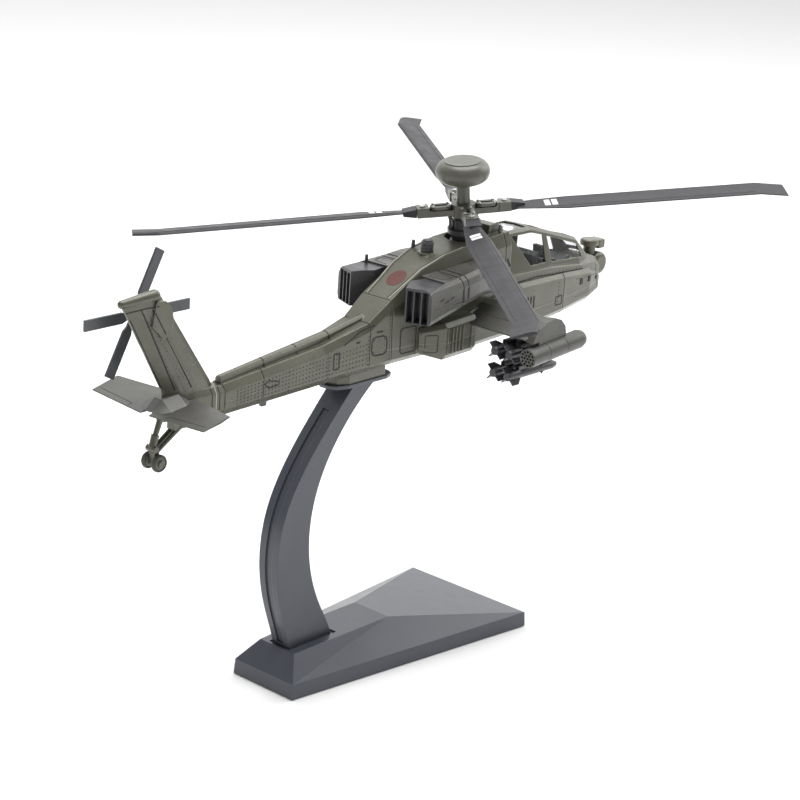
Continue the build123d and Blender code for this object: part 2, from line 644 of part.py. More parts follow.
def seat(x, floor, top):
    """An armoured seat: bucket, back rest and head rest."""
    chair = block((x, x + 6.4), (-3.2, 3.2), (floor, floor + 4.4))
    chair -= block((x + 1.4, x + 6.0), (-2.4, 2.4), (floor + 3.2, floor + 6))
    back = prism_y([(x + 0.6, floor + 3.0), (x - 1.0, top - 3.4), (x + 0.3, top - 3.4), (x + 2.0, floor + 3.0)],
                   -3.2, 3.2)
    head = prism_y([(x - 0.9, top - 3.6), (x - 1.4, top), (x + 0.2, top), (x + 0.8, top - 3.6)], -1.8, 1.8)
    return chair + back + head


# ---------------------------------------------------------------- nose, gun and gear

def nose_turret():
    """The sight drum across the nose, with a window sunk into each half of its face."""
    x, z = TURRET
    barrel = Rot(90, 0, 0) * Cylinder(4.3, 8.4)
    drum = Pos(x, 0, z) * fillet(barrel.edges(), 1.6)
    drum += rod((NOSE - 1, 0, z), (x, 0, z), 3.0)
    for side in (1, -1):
        drum -= Pos(x + 4.4, side * 2.0, z + 0.2) * Box(2.4, 2.4, 4.2)
    return drum - block((NOSE - 10, NOSE), (-12, 12), (-45, -25))


def night_sensor():
    """The night sight above the turret: a round cap on a stalk, with a square window head."""
    sight = rod((76.6, 0, -29.5), (76.6, 0, -23.8), 2.3)
    cap = Pos(76.3, 0, -22.85) * Cylinder(3.5, 2.3)
    sight += fillet(cap.edges().sort_by(Axis.Z)[-1:], 0.9)
    head = fillet((Pos(80.9, 0, -23.9) * Box(3.8, 5.4, 3.4)).edges(), 0.5)
    head -= Pos(82.8, 0, -23.9) * Box(1.2, 3.8, 2.2)
    return sight + head


def chain_gun():
    """The gun on its turntable under the cockpit."""
    x, z = GUN_PIVOT
    gun = rod((x, 0, z + 3.0), (x, 0, z - 1.0), 1.6)
    gun += rod((x, 0, z - 0.7), (x, 0, z - 2.2), 2.6)
    gun += block((x - 2.6, x + 3.4), (-2.7, 2.7), (z - 4.6, z - 2.0))
    for side in (1, -1):
        gun += block((x - 1.6, x + 4.6), sorted((side * 1.7, side * 2.7)), (z - 8.6, z - 3.4))
    gun += fillet(block((x - 5.4, x + 8.2), (-1.7, 1.7), (z - 8.4, z - 5.2)).edges(), 0.5)
    muzzle = x + 15.0
    gun += rod((x + 8.0, 0, z - 6.8), (muzzle - 1.0, 0, z - 6.8), 0.75, 0.6)
    gun += rod((x + 8.0, 0, z - 6.8), (x + 10.0, 0, z - 6.8), 1.2, 0.9)
    gun += rod((muzzle - 3.0, 0, z - 6.8), (muzzle, 0, z - 6.8), 1.0)
    gun -= rod((muzzle - 2.0, 0, z - 6.8), (muzzle + 1.0, 0, z - 6.8), 0.45)
    return gun


def main_gear(outside):
    """The port main leg: trailing arm, shock strut and axle stub."""
    x, y, z = WHEEL
    inner = y - WHEEL_WIDE / 2 - 0.5
    leg = rod((39.0, 8.6, -40.6), (x + 0.6, inner - 1.2, z), 1.5, 1.25)
    leg += rod((26.0, 10.6, -41.0), (x, inner - 1.2, z + 0.4), 1.25)
    leg += rod((26.0, 10.6, -41.0), (25.7, inner - 1.5, -48.0), 1.65)
    leg += rod((x, inner - 2.6, z), (x, inner, z), 1.9)
    leg += rod((x, inner - 1.0, z), (x, y + WHEEL_WIDE / 2 + 0.9, z), 1.0)
    return largest(leg - outside)


def main_wheel():
    x, y, z = WHEEL
    half, radius = WHEEL_WIDE / 2, WHEEL_RADIUS
    rim = [(1.0 + RUNNING, half - 0.2), (2.0, half - 0.2), (2.4, half - 0.9), (3.5, half - 0.9), (3.8, half - 0.1),
           (4.4, half), (radius - 0.4, half - 0.7), (radius, half - 1.5)]
    profile = [(r, -w) for r, w in rim] + list(reversed(rim))
    return Pos(x, y, z) * Rot(90, 0, 0) * turned(profile)


def wheel_retainers():
    """Push-on rings that keep the four wheels on their axles."""
    rings = []
    for centre, half, bore, radius in (
        (WHEEL, WHEEL_WIDE / 2, 1.02, 1.7), (TAIL_WHEEL, TAIL_WHEEL_WIDE / 2, 0.62, 1.1),
    ):
        x, y, z = centre
        for side in (1, -1):
            ring = Cylinder(radius, 0.4) - Cylinder(bore, 2)
            rings.append(Pos(x, side * (y + half + 0.4), z) * Rot(90, 0, 0) * ring)
    return Compound(children=rings)


# ---------------------------------------------------------------- main rotor

def swashplate():
    """The dark ribbed sleeve round the mast."""
    steps = [(1.52, -15.2), (4.0, -15.2), (4.0, -12.8), (5.0, -12.6), (5.0, -11.2), (4.2, -11.0), (4.2, -8.8),
             (5.7, -8.6), (5.7, -6.9), (3.9, -6.9), (3.7, -3.6), (3.1, -3.2), (3.1, -2.62), (1.52, -2.62)]
    sleeve = turned(steps)
    for turn in range(0, 360, 30):
        sleeve += Rot(0, 0, turn) * block((3.0, 4.3), (-0.35, 0.35), (-15.0, -3.8))
    return sleeve


def slotted_link(long, wide, slot, low, high):
    """An oval plate with an oval hole along it, centred on the Z axis."""
    plate = extrude(SlotOverall(long, wide), high - low)
    plate -= extrude(SlotOverall(long - wide + slot, slot), high - low)
    return Pos(0, 0, low) * plate


def rotor_hub():
    """The hub: a round core with four arms, each a bar under an oval link, that ends in a socket."""
    hub = Pos(0, 0, -2.6) * Cylinder(4.2, 4.5, align=STANDING)
    for turn in range(4):
        arm = block((3.0, 12.4), (-2.0, 2.0), (-1.9, 0.2))
        arm += Pos(8.0, 0, 0) * slotted_link(7.5, 4.6, 1.6, 0.7, 1.7)
        for x in (5.4, 10.6):
            arm += Pos(x, 0, 0.1) * Cylinder(1.3, 1.2, align=STANDING)
        arm += block((12.3, BLADE_ROOT - 0.2), (-2.4, 2.4), (-1.7, 1.7))
        arm -= block((13.0, BLADE_ROOT), (-1.8, 1.8), (-0.6, 0.6))
        arm -= Pos(BLADE_PIN, 0, 0) * Cylinder(0.62, 8)
        hub += Rot(0, 0, BLADE_AZIMUTH + 90 * turn) * arm
    return hub - Cylinder(1.52, 12)


def blade_section(r, chord, sweep):
    """The airfoil at radius r: the nose is on the +Y side and the quarter chord lies on the X axis."""
    drop = -BLADE_DROOP * (r / ROTOR_RADIUS) ** 2
    thick = BLADE_THICK * chord / BLADE_CHORD
    tilt_y, tilt_z = cos(radians(BLADE_PITCH)), sin(radians(BLADE_PITCH))
    shape = [(0.0, 0.0), (0.06, 0.34), (0.2, 0.5), (0.42, 0.46), (0.78, 0.24), (1.0, 0.13), (1.0, -0.13),
             (0.7, -0.24), (0.3, -0.36), (0.06, -0.26)]
    points = []
    for share, high in shape:
        y, z = chord * (0.3 - share) - sweep, high * thick
        points.append(Vector(r, y * tilt_y - z * tilt_z, drop + y * tilt_z + z * tilt_y))
    return Face(Wire.make_polygon(points))


def main_blade(turn):
    """One blade: a tongue for the hub's socket, a root block, a flaring root and a swept tip."""
    rows = [(BLADE_ROOT + 1.8, BLADE_ROOT_CHORD, 0.0), (BLADE_FULL, BLADE_CHORD, 0.0),
            (BLADE_SWEEP, BLADE_CHORD, 0.0), (ROTOR_RADIUS, BLADE_CHORD, 2.8)]
    blade = loft([blade_section(*row) for row in rows], ruled=True)
    root = [across(x, [(-wide, -high), (wide, -high), (wide, high), (-wide, high)])
            for x, wide, high in ((BLADE_ROOT, 2.3, 1.55), (BLADE_ROOT + 4.6, 2.2, 0.8))]
    blade += loft(root, ruled=True)
    blade += block((13.2, BLADE_ROOT + 1.0), (-1.65, 1.65), (-0.58, 0.58))
    blade -= Pos(BLADE_PIN, 0, 0) * Cylinder(0.62, 8)
    led = Pos(BLADE_PIN, 0, 0) * Rot(0, 0, BLADE_LEAD[turn]) * Pos(-BLADE_PIN, 0, 0) * blade
    return Rot(0, 0, BLADE_AZIMUTH + 90 * turn) * led


def blade_pins():
    pins = []
    for turn in range(4):
        pin = Pos(BLADE_PIN, 0, 0) * Cylinder(0.6, 3.5) + Pos(BLADE_PIN, 0, 1.95) * Cylinder(1.0, 0.5)
        pins.append(Rot(0, 0, BLADE_AZIMUTH + 90 * turn) * pin)
    return Compound(children=pins)


def pitch_links():
    """Four short upright rods between the swashplate and the hub's arms."""
    links = []
    for turn in range(4):
        link = rod((5.0, 1.4, -7.0), (5.0, 1.4, -1.9), 0.5)
        link += Pos(5.0, 1.4, -2.4) * Sphere(0.75) + Pos(5.0, 1.4, -6.5) * Sphere(0.75)
        link &= block((0, 10), (-5, 5), (-6.88, -1.92))
        links.append(Rot(0, 0, BLADE_AZIMUTH + 90 * turn) * link)
    return Compound(children=links)


def radome():
    """The flattened dome over the rotor, with a flat disc let into its top."""
    side = Spline([Vector(r, 0, z) for r, z in (
        (6.9, 3.2), (8.5, 2.1), (9.4, -0.3), (8.7, -2.6), (6.4, -4.2), (3.2, -4.8))])
    top = Polyline([Vector(r, 0, z) for r, z in (
        (3.2, -4.8), (0, -4.8), (0, 3.5), (6.4, 3.5), (6.4, 3.2), (6.9, 3.2))])
    dome = Pos(0, 0, 13.75) * revolve(Face(Wire([side, *top.edges()])), Axis.Z, 360)
    return dome - Cylinder(1.52, 24)


def main_rotor(table):
    table["rotor_mast"] = on_mast(Pos(0, 0, -33.8) * Cylinder(1.5, 45.6, align=STANDING))
    table["swashplate"] = on_mast(swashplate())
    table["rotor_hub"] = on_mast(rotor_hub())
    for turn in range(4):
        table["main_blade_%d" % (turn + 1)] = on_mast(main_blade(turn))
    table["blade_pins"] = on_mast(blade_pins())
    table["pitch_links"] = on_mast(pitch_links())
    table["radome_column"] = on_mast(turned([(1.52, 1.92), (2.35, 1.92), (2.35, 8.93), (1.52, 8.93)]))
    table["radome"] = on_mast(radome())


def mast_bush():
    """The plain bearing pressed into the roof, and its flange."""
    bush = Pos(0, 0, -32.0) * Cylinder(2.58, 16.0, align=STANDING)
    bush += Pos(0, 0, -16.38) * Cylinder(3.6, 0.6, align=STANDING)
    return on_mast(bush - Pos(0, 0, -20) * Cylinder(1.5 + RUNNING, 40))


def mast_clip():
    """The retaining ring on the mast's lower end."""
    ring = Pos(0, 0, -32.8) * (Cylinder(3.2, 0.9) - Cylinder(1.52, 2))
    return on_mast(ring)


# ---------------------------------------------------------------- small fittings

def beacon(outside):
    """The ringed lamp housing on the roof."""
    lamp = Pos(-18.0, 0, -11.5) * Cylinder(2.2, 4.6) + Pos(-18.0, 0, -9.0) * Cylinder(1.7, 0.8)
    for z in (-12.5, -11.4, -10.3):
        lamp -= Pos(-18.0, 0, z) * (Cylinder(2.6, 0.35) - Cylinder(1.95, 1.0))
    return largest(lamp - outside)


def antennas(outside, cowl, duct):
    """The stub aerials on the roof and the port cowl, and the blade aerial under the boom."""
    posts = [
        rod((-17.2, 7.0, -16.4), (-17.2, 7.0, -10.3), 0.95, 0.55),
        rod((-29.6, 17.0, -21.4), (-29.6, 17.0, -15.8), 0.8, 0.5),
        rod((13.0, 6.6, -12.0), (13.0, 6.6, -6.4), 0.5, 0.35),
        rod((13.0, -6.6, -12.0), (13.0, -6.6, -6.4), 0.5, 0.35),
        prism_y([(-97.0, -50.0), (-95.6, -52.6), (-93.4, -52.6), (-93.0, -50.0)], -0.4, 0.4),
    ]
    return Compound(children=[largest(post - outside - cowl - duct) for post in posts])


def mirrored(halves):
    """The outline whose half-widths are given, as (x, y) points."""
    return [(x, -half) for x, half in halves] + [(x, half) for x, half in reversed(halves)]


def stand_saddle(outside):
    """The pad under the fuselage that the stand's cradle carries."""
    low = PLATE_TOP - HUB[2]
    pad = Pos(-HUB[0], 0, 0) * prism_z(mirrored(PAD_HALVES), low, -46.6)
    pad -= outside
    pad -= Pos(PEG_X - HUB[0], 0, low) * Cylinder(PEG_RADIUS + 0.1, 30.0)
    return largest(pad)


# ---------------------------------------------------------------- stand

def stand_base():
    """The wedge-shaped base, hollow from below, with the slot for the arm's foot."""
    def corners(draft, z):
        rear, front = BASE_REAR_HALF - draft, BASE_FRONT_HALF - draft
        back, nose = BASE_REAR + draft, BASE_FRONT - draft
        return [(back, -rear, z), (nose, -front, z), (nose, front, z), (back, rear, z)]

    def faceted(draft, side, top, trim):
        foot, rim = corners(trim, 0.0), corners(draft + trim, side)
        rear, front, half = PLATEAU_REAR + trim, PLATEAU_FRONT, PLATEAU_HALF - trim
        crest = [(rear, -half, top), (front, -half, top), (front, half, top), (rear, half, top)]
        panels = [foot, crest]
        for low, high in ((foot, rim), (rim, crest)):
            for i in range(4):
                j = (i + 1) % 4
                panels.append([low[i], low[j], high[j], high[i]])
        faces = []
        for panel in panels:
            if panel in (foot, crest):
                faces.append(Face(Wire.make_polygon([Vector(*p) for p in panel])))
            else:
                a, b, c, d = (Vector(*p) for p in panel)
                faces.append(Face(Wire.make_polygon([a, b, c])))
                faces.append(Face(Wire.make_polygon([a, c, d])))
        return Solid(Shell(faces))

    base = Part() + faceted(0.3, BASE_SIDE, BASE_TOP, 0.0)
    hollow = Pos(0, 0, COVER_THICK - 0.001) * faceted(0.3, BASE_SIDE - 3.0, BASE_TOP - 4.2, 2.0)
    base -= hollow
    base += block((SLOT_REAR - 1.8, SLOT_FRONT + 1.8), (-SLOT_HALF - 1.8, SLOT_HALF + 1.8),
                  (COVER_THICK, 10.0))
    base -= block((SLOT_REAR, SLOT_FRONT), (-SLOT_HALF, SLOT_HALF), (COVER_THICK + 2.4, 20.0))
    recess = [(x, y) for x, y, _ in corners(1.4, 0.0)]
    base -= prism_z(recess, -1.0, COVER_THICK)
    for x in (-40.5, -30.5):
        base -= Pos(x, 0, 0) * Cylinder(1.3, 30.0)
    return base


def base_cover():
    """The flat plate let into the underside."""
    plate = prism_z([(BASE_REAR + 1.6, 1.6 - BASE_REAR_HALF), (BASE_FRONT - 1.6, 1.6 - BASE_FRONT_HALF),
                     (BASE_FRONT - 1.6, BASE_FRONT_HALF - 1.6), (BASE_REAR + 1.6, BASE_REAR_HALF - 1.6)],
                    0.0, COVER_THICK)
    for x in (-40.5, -30.5):
        plate -= Pos(x, 0, 0) * Cylinder(2.3, 4.0)
    return plate


def arm_outline(rear_side, shift=0.0):
    """One edge of the arm's crescent as a smooth curve from foot to head."""
    if rear_side:
        points = [(-44.8, 4.2), (-46.3, 13.5), (-50.6, 26.0), (-54.1, 43.0), (-51.4, 62.8), (-43.8, 77.0),
                  (-22.4, 102.2)]
    else:
        points = [(-24.6, 4.2), (-25.8, 12.9), (-31.9, 24.6), (-39.0, 45.0), (-37.6, 66.5), (-22.3, 92.5),
                  (-11.8, 102.2)]
    return Spline([Vector(x + shift, 0, z) for x, z in points])


def between(rear, front):
    """The face enclosed by two of the arm's edges."""
    return Face(Wire([Line(rear @ 0, front @ 0), front, Line(front @ 1, rear @ 1), rear]))


def stand_arm():
    """The crescent arm that widens upwards, grooved down its back, with its cradle plate and peg."""
    rear = arm_outline(True)
    crescent = extrude(between(rear, arm_outline(False)), 8.0, both=True)
    wedge = Face(Wire.make_polygon([Vector(0, y, z) for y, z in (
        (-ARM_FOOT_HALF, 0), (ARM_FOOT_HALF, 0), (ARM_HEAD_HALF, 104), (-ARM_HEAD_HALF, 104))]))
    arm = crescent & extrude(wedge, 80, dir=(1, 0, 0), both=True)
    arm -= extrude(between(rear, arm_outline(True, ARM_GROOVE)), 1.5, both=True) & block(
        (-60, 0), (-2, 2), (BASE_TOP + 1.0, 94.0))
    arm = arm & block((-60, 0), (-10, 10), (COVER_THICK + 2.4, PLATE_LOW + 0.5))
    arm += block((SLOT_REAR + 0.2, SLOT_FRONT - 0.2), (-SLOT_HALF + 0.2, SLOT_HALF - 0.2),
                 (COVER_THICK + 2.4, 12.3))
    plate = prism_z(mirrored(PLATE_HALVES), PLATE_LOW, PLATE_TOP)
    arm += fillet(plate.edges().filter_by(Axis.Z), 1.2)
    arm += Pos(PEG_X, 0, PLATE_TOP - 0.5) * Cylinder(PEG_RADIUS, PEG_TALL + 0.5, align=STANDING)
    for x in (-40.5, -30.5):
        arm -= Pos(x, 0, 0) * Cylinder(0.95, 26.0)
    return arm


def stand_screws():
    screws = [screw(x, 0, COVER_THICK + 0.2, 8.0) for x in (-40.5, -30.5)]
    return Compound(children=screws)


# ---------------------------------------------------------------- assembly

def helicopter():
    table = {}
    outside, upper, belly, screws = fuselage()
    table["upper_body"], table["belly_pan"], table["body_screws"] = upper, belly, screws
    tail_plane = stabilator()
    table["tail_fin"] = largest(tail_fin() - tail_plane)
    table["stabilator"] = tail_plane
    table["tail_gear_leg"] = largest(tail_gear() - table["tail_fin"] - tail_plane)
    table["tail_wheels"] = tail_wheels()
    tail_rotor(table)
    cowl = engine_nacelle(outside)
    port_and_starboard("engine_nacelle", cowl, table)
    port_and_starboard("intake_fairing", intake_fairing(), table)
    port_and_starboard("exhaust", exhaust(outside), table)
    port_and_starboard("stub_wing", stub_wing(outside), table)
    port_and_starboard("rocket_pod", rocket_pod(), table)
    rise = (POD_FRONT[1] - POD_REAR[1]) / (POD_FRONT[0] - POD_REAR[0])
    table["rocket_pod_left"] = Pos(PORT_POD_SHIFT, 0, PORT_POD_SHIFT * rise) * table["rocket_pod_left"]
    port_and_starboard("missile_launcher", missile_launcher(), table)
    port_and_starboard("missiles", missiles(), table)
    table["canopy_glass"], table["canopy_frame"] = canopy(outside)
    table["cockpit_tub"] = cockpit_tub()
    table["pilot_seat"] = seat(25.0, -35.4, -14.6)
    table["gunner_seat"] = seat(45.0, -35.4, -19.4)
    table["nose_turret"] = nose_turret()
    table["night_sensor"] = night_sensor() - outside - table["nose_turret"]
    table["chain_gun"] = chain_gun()
    port_and_starboard("main_gear", main_gear(outside), table)
    port_and_starboard("main_wheel", main_wheel(), table)
    main_rotor(table)
    table["mast_bush"] = mast_bush()
    table["mast_clip"] = mast_clip()
    table["wheel_retainers"] = wheel_retainers()
    table["beacon"] = beacon(outside)
    table["antennas"] = antennas(outside, cowl, table["exhaust_left"])
    table["stand_saddle"] = stand_saddle(outside)
    return {name: Pos(*HUB) * shape for name, shape in table.items()}


def stand():
    return {"stand_base": stand_base(), "base_cover": base_cover(), "stand_arm": stand_arm(),
            "stand_screws": stand_screws()}


os.makedirs("parts", exist_ok=True)
for node, shape in {**stand(), **helicopter()}.items():
    export_step(shape, "parts/%s.step" % node)
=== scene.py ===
import json
from math import acos, cos, pi, radians, sin

import bmesh
import bpy
from mathutils import Matrix, Vector
from mathutils.bvhtree import BVHTree


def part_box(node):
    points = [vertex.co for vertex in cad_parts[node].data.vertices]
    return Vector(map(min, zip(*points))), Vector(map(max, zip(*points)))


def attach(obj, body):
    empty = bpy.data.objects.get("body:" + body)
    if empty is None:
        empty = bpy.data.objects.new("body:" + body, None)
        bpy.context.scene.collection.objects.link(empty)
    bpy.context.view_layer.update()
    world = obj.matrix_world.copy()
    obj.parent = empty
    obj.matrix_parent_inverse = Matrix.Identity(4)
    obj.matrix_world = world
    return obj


# Looks for the toy helicopter and its stand. Sizes are millimetres, measured from the main rotor's hub, with
# +X to the nose, +Y to port and +Z up; place() turns them into the frame's metres. The camera, the lights and
# the floor are in the frame's own metres.

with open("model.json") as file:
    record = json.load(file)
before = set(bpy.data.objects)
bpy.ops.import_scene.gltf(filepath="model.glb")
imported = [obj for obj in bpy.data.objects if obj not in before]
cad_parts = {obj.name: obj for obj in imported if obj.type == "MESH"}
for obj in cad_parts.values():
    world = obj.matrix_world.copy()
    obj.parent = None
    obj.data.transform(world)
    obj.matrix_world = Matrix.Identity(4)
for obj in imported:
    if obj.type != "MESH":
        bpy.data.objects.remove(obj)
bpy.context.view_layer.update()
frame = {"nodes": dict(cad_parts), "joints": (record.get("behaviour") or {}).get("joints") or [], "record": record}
NODES = frame["nodes"]
MM = 0.001
ROTOR = next(joint for joint in frame["joints"] if joint["name"] == "main_rotor_spin")
HUB = Vector(ROTOR["pos_m"])
MAST = Vector(ROTOR["axis"]).normalized()
MAST_LEAN = acos(MAST.z)
DOWN = Vector((0, 0, -1))

CAMERA_PLACE = Vector((-0.52508, -0.45255, 0.31966))
CAMERA_RIGHT = Vector((0.6622, -0.7465, 0.0643))
CAMERA_UP = Vector((0.1940, 0.2537, 0.9476))
CAMERA_BACK = Vector((-0.7237, -0.6151, 0.3128))
LENS, SENSOR = 95.75, 36.0
LIGHTS = (                  # name, place, aim, diameter, watts
    ("key", (0.15, 0.05, 1.40), (0, 0, 0.08), 1.3, 21),
    ("side", (1.10, -0.45, 0.95), (0, 0, 0.13), 1.0, 5),
)
WALL_SIDE = Vector((0.74, 0.62, 0.25)).normalized()
WALL_DIM, WALL_BRIGHT, WALL_EDGE = 0.38, 1.3, 0.95
FLOOR_REACH, FLOOR_DROP = 6, 0.0003

SINK = 0.10                 # how far a detail reaches into the skin below it
OUTSIDE = 60.0              # where the rays that find the fuselage's skin start
ABOVE_ROTOR = 20.0          # where the rays that find the rotor's skin start
STEP = 1.2                  # spacing of the points of a line laid on the skin
SHORT_STEP = 0.8            # the same for short lines, and for slots
SEAM_STEP = 2.5             # the same for the long lines on the blades

STUD_WALL = 0.4             # height of a stud's upright part, as a share of its rise
STUD_CROWN = 0.62           # radius of its flat top, as a share of its radius

# Width and rise of the strips, and radius and rise of the studs.
PANEL_LINE, HATCH_LINE, SEAM_LINE, TUNNEL_LINE = (0.42, 0.05), (0.48, 0.05), (0.5, 0.05), (0.50, 0.06)
FINE_LINE, TAILPLANE_LINE = (0.22, 0.05), (0.22, 0.04)
RIDGE_STRIP, VENT_STRIP, SLOT_RISE = (0.34, 0.13), (0.9, 0.06), 0.14
FLAP_LINE, BAND_STRIP, COWL_VENT_STRIP = (0.26, 0.06), (0.9, 0.31), (0.45, 0.07)
RIB_STRIP, RIB_GROOVE, BAY_LINE = (0.5, 0.30), (0.3, 0.05), (0.28, 0.05)
HULL_STUD, HATCH_STUD, FIN_STUD = (0.27, 0.12), (0.20, 0.10), (0.17, 0.09)
COWL_TOP_STUD, COWL_SIDE_STUD = (0.2, 0.1), (0.19, 0.1)

# Fuselage side, as (x, z) from the hub: the same on both sides.
HATCHES = (                 # low x, high x, low z, high z, corner radius
    (-38.4, -31.0, -43.6, -34.8, 1.0),
    (-51.2, -44.6, -42.4, -36.0, 1.6),
    (-68.2, -65.8, -44.2, -38.8, 0.3),
    (43.2, 47.0, -39.6, -36.4, 0.3),
)
STUDDED_WIDTH = 5           # hatches wider than this are studded round the inside
STUD_INSET, STUD_CORNER, STUD_SPACING = 0.9, 0.3, 2.0
# The dark strips of these openings are painted shade.
SLOTS = (                   # small dark openings: centre x and z, width, height
    (59.6, -33.5, 1.8, 2.2), (65.1, -33.3, 1.6, 2.1), (71.2, -33.6, 1.4, 1.9),
    (24.2, -36.0, 0.5, 4.6), (26.0, -36.0, 0.5, 4.6), (27.8, -36.0, 0.5, 4.6), (29.6, -36.0, 0.5, 4.6),
    (-47.9, -34.4, 2.6, 0.5), (-57.5, -36.6, 1.6, 0.5),
)
# A dark strip of painted shade for a sloping vent.
SLOPING_VENT = ((15.0, -18.4), (18.0, -23.2))       # beside the rear cockpit
SIDE_LINES = (
    ((19.5, -28.0), (33.0, -27.6), (47.0, -28.4), (62.0, -29.2)),
    ((-31.0, -33.6), (-15.0, -30.6), (8.0, -28.8)),
    ((-98.6, -43.4), (-96.6, -42.6), (-92.2, -43.6), (-92.4, -44.6), (-96.8, -45.0), (-98.6, -43.4)),
    ((-64.0, -36.6), (-56.2, -33.2), (-50.0, -31.8)),
)
BOOM_RIVETS = tuple(((-110.0, -43.4 - 1.06 * row), (-53.5, -38.0 - 1.65 * row), 1.5) for row in range(6))
RIVET_ROWS = BOOM_RIVETS + (     # start, end, spacing
    ((-52.6, -35.4), (-52.6, -45.0), 1.2),
    ((-70.6, -38.6), (-70.6, -46.4), 1.2),
    ((-88.0, -41.4), (-88.0, -47.4), 1.2),
    ((-43.4, -29.4), (-43.4, -44.4), 1.3),
    ((-30.0, -43.6), (-30.0, -35.0), 1.5),
    ((20.0, -26.6), (60.0, -28.4), 2.2),
    ((44.6, -39.6), (44.6, -31.4), 1.4),
    ((56.2, -38.8), (72.0, -37.8), 1.8),
    ((56.2, -32.0), (72.0, -32.6), 1.8),
    ((2.6, -12.6), (2.6, -26.0), 1.6),
)
SIDE_SEAMS = (              # x, high z, low z
    (-99.0, -44.0, -48.6), (-52.0, -34.0, -46.6), (-42.5, -30.0, -47.0),
    (1.0, -11.5, -16.5), (14.0, -14.0, -27.0),
)
RIB_X = (-20.9, -18.4, -16.6, -14.8, -13.0, -8.4)   # upright ribs on the fairing behind the main wheel
RIB_LOW, RIB_HIGH = -45.4, -36.4
GROOVE_AHEAD = 0.45         # of each rib
BAY_PANEL = (-28.6, -24.4, -44.4, -38.4, 0.4)       # as in HATCHES
FIN_LINES = (
    ((-149.1, -10.8), (-134.1, -39.2)),
    ((-145.2, -10.8), (-127.8, -39.2)),
    ((-155.6, -11.6), (-148.0, -11.0), (-142.4, -10.9)),
    ((-152.6, -14.0), (-138.6, -38.6)),
)
FIN_RIVETS = (
    ((-147.6, -13.0), (-132.8, -40.0), 1.5),
    ((-146.2, -13.0), (-130.2, -40.0), 1.5),
    ((-142.0, -20.6), (-127.2, -40.4), 1.7),
    ((-153.4, -14.4), (-139.6, -39.4), 1.9),
)
RING_LOW, RING_HIGH = -50.2, -40.9      # of the lines round the tail cone
RING_STEP = 0.6

# Seen from above, as (x, y) from the hub.
TUNNEL_JOINTS = (-96.6, -82.0, -67.2)
TUNNEL_HALF, TUNNEL_STEP = 2.6, 0.4
# A light strip of painted highlight runs along this ridge on each side, with a dark line of painted shade inboard
# of it.
RIDGE = ((-42.0, 4.9), (-35.0, 5.5), (-28.0, 6.2), (-18.0, 7.1), (-8.0, 7.5))
RIDGE_SHADE = 0.75          # how far inboard of the ridge its dark line runs
PATCH_PLACE, PATCH_RADIUS, PATCH_RISE = (-33.6, -0.6), 3.4, 0.06
TAILPLANE_LINES = (((-142.9, 8.6), (-142.4, 23.6)), ((-142.9, 8.6), (-144.6, 8.4)))

# Engine cowls.
COWL_FLAP = ((-27.8, 9.6), (-27.0, 15.4), (-23.2, 16.4), (-22.6, 9.8))
COWL_BANDS = (-21.4, -18.6)
BAND_ABOVE = (9.8, 17.6)    # y of a band's ends on top of the cowl
BAND_BESIDE = (-19.2, -26.4)        # z of its ends on the cowl's side
BAND_STEP = 1.0
COWL_TOP_RIVETS = (         # start, end, spacing
    ((-24.6, 10.2), (-24.6, 16.6), 1.3),
    ((-16.0, 10.2), (-16.0, 17.0), 1.5),
)
COWL_SIDE_RIVETS = ((-36.0, -29.4), (-5.0, -26.0))
COWL_SIDE_SPACING = 1.8
COWL_VENTS = ((-33.2, -22.6), (-30.4, -23.6), (-27.6, -22.8))
VENT_HALF, VENT_FALL, VENT_RISE = 0.9, 0.5, 0.1     # half length, and how far its ends are below and above it
VENT_STEP = 0.6

# Main rotor: radius along a blade, and distance across it towards its leading edge.
FIRST_ARM = 38.7            # degrees clockwise from the nose, seen from above
ARM_AZIMUTHS = [turn * 90 - FIRST_ARM for turn in range(4)]
BLADE_LEADS = (-0.2, 1.8, -1.2, 0.1)                # degrees that each blade stands round from its arm
BLADE_AZIMUTHS = [arm + lead for arm, lead in zip(ARM_AZIMUTHS, BLADE_LEADS)]
MARK_RADII, MARK_ACROSS = (29.2, 31.8), (-3.6, -2.4, -1.2, 0.0)
MARK_STRIP = (2.0, 0.06)
BLADE_SEAMS = (             # low radius, high radius, across, width and rise
    (24.0, 112.0, 1.5, (0.24, 0.05)),
    (33.0, 103.0, -4.6, (0.20, 0.05)),
)
BOLT_RADII, BOLT_ACROSS = (5.4, 10.6), (1.5, -1.5)
BOLT_HEAD, BOLT_SIDES = (0.55, 0.5), 6


# ---------------------------------------------------------------- places and skins

def place(x, y, z):
    return HUB + Vector((x, y, z)) * MM


def on_rotor(radius, azimuth, height, across=0.0):
    """A point of the rotor: along a blade, across it towards its leading edge, and up the mast."""
    turn = radians(azimuth)
    flat = Vector((radius * cos(turn) - across * sin(turn), radius * sin(turn) + across * cos(turn), height))
    return HUB + Matrix.Rotation(-MAST_LEAN, 3, "Y") @ flat * MM


def skin(*names):
    """The faces of the named CAD nodes, to lay details on."""
    corners, faces = [], []
    for name in names:
        mesh = NODES[name].data
        faces += [[len(corners) + i for i in face.vertices] for face in mesh.polygons]
        corners += [vertex.co.copy() for vertex in mesh.vertices]
    return BVHTree.FromPolygons(corners, faces)


def land(tree, start, toward):
    """Where a ray from start meets the skin, and the skin's normal there, or None."""
    spot, normal, _, _ = tree.ray_cast(start, toward)
    if spot is None:
        return None
    return spot, normal if normal.dot(toward) < 0 else -normal


def dotted(points, step):
    """The points of a line, with more put in so that none are further apart than step."""
    result = [Vector(points[0])]
    for start, end in zip(points, points[1:]):
        start, end = Vector(start), Vector(end)
        count = max(1, round((end - start).length / step))
        result += [start.lerp(end, i / count) for i in range(1, count + 1)]
    return result


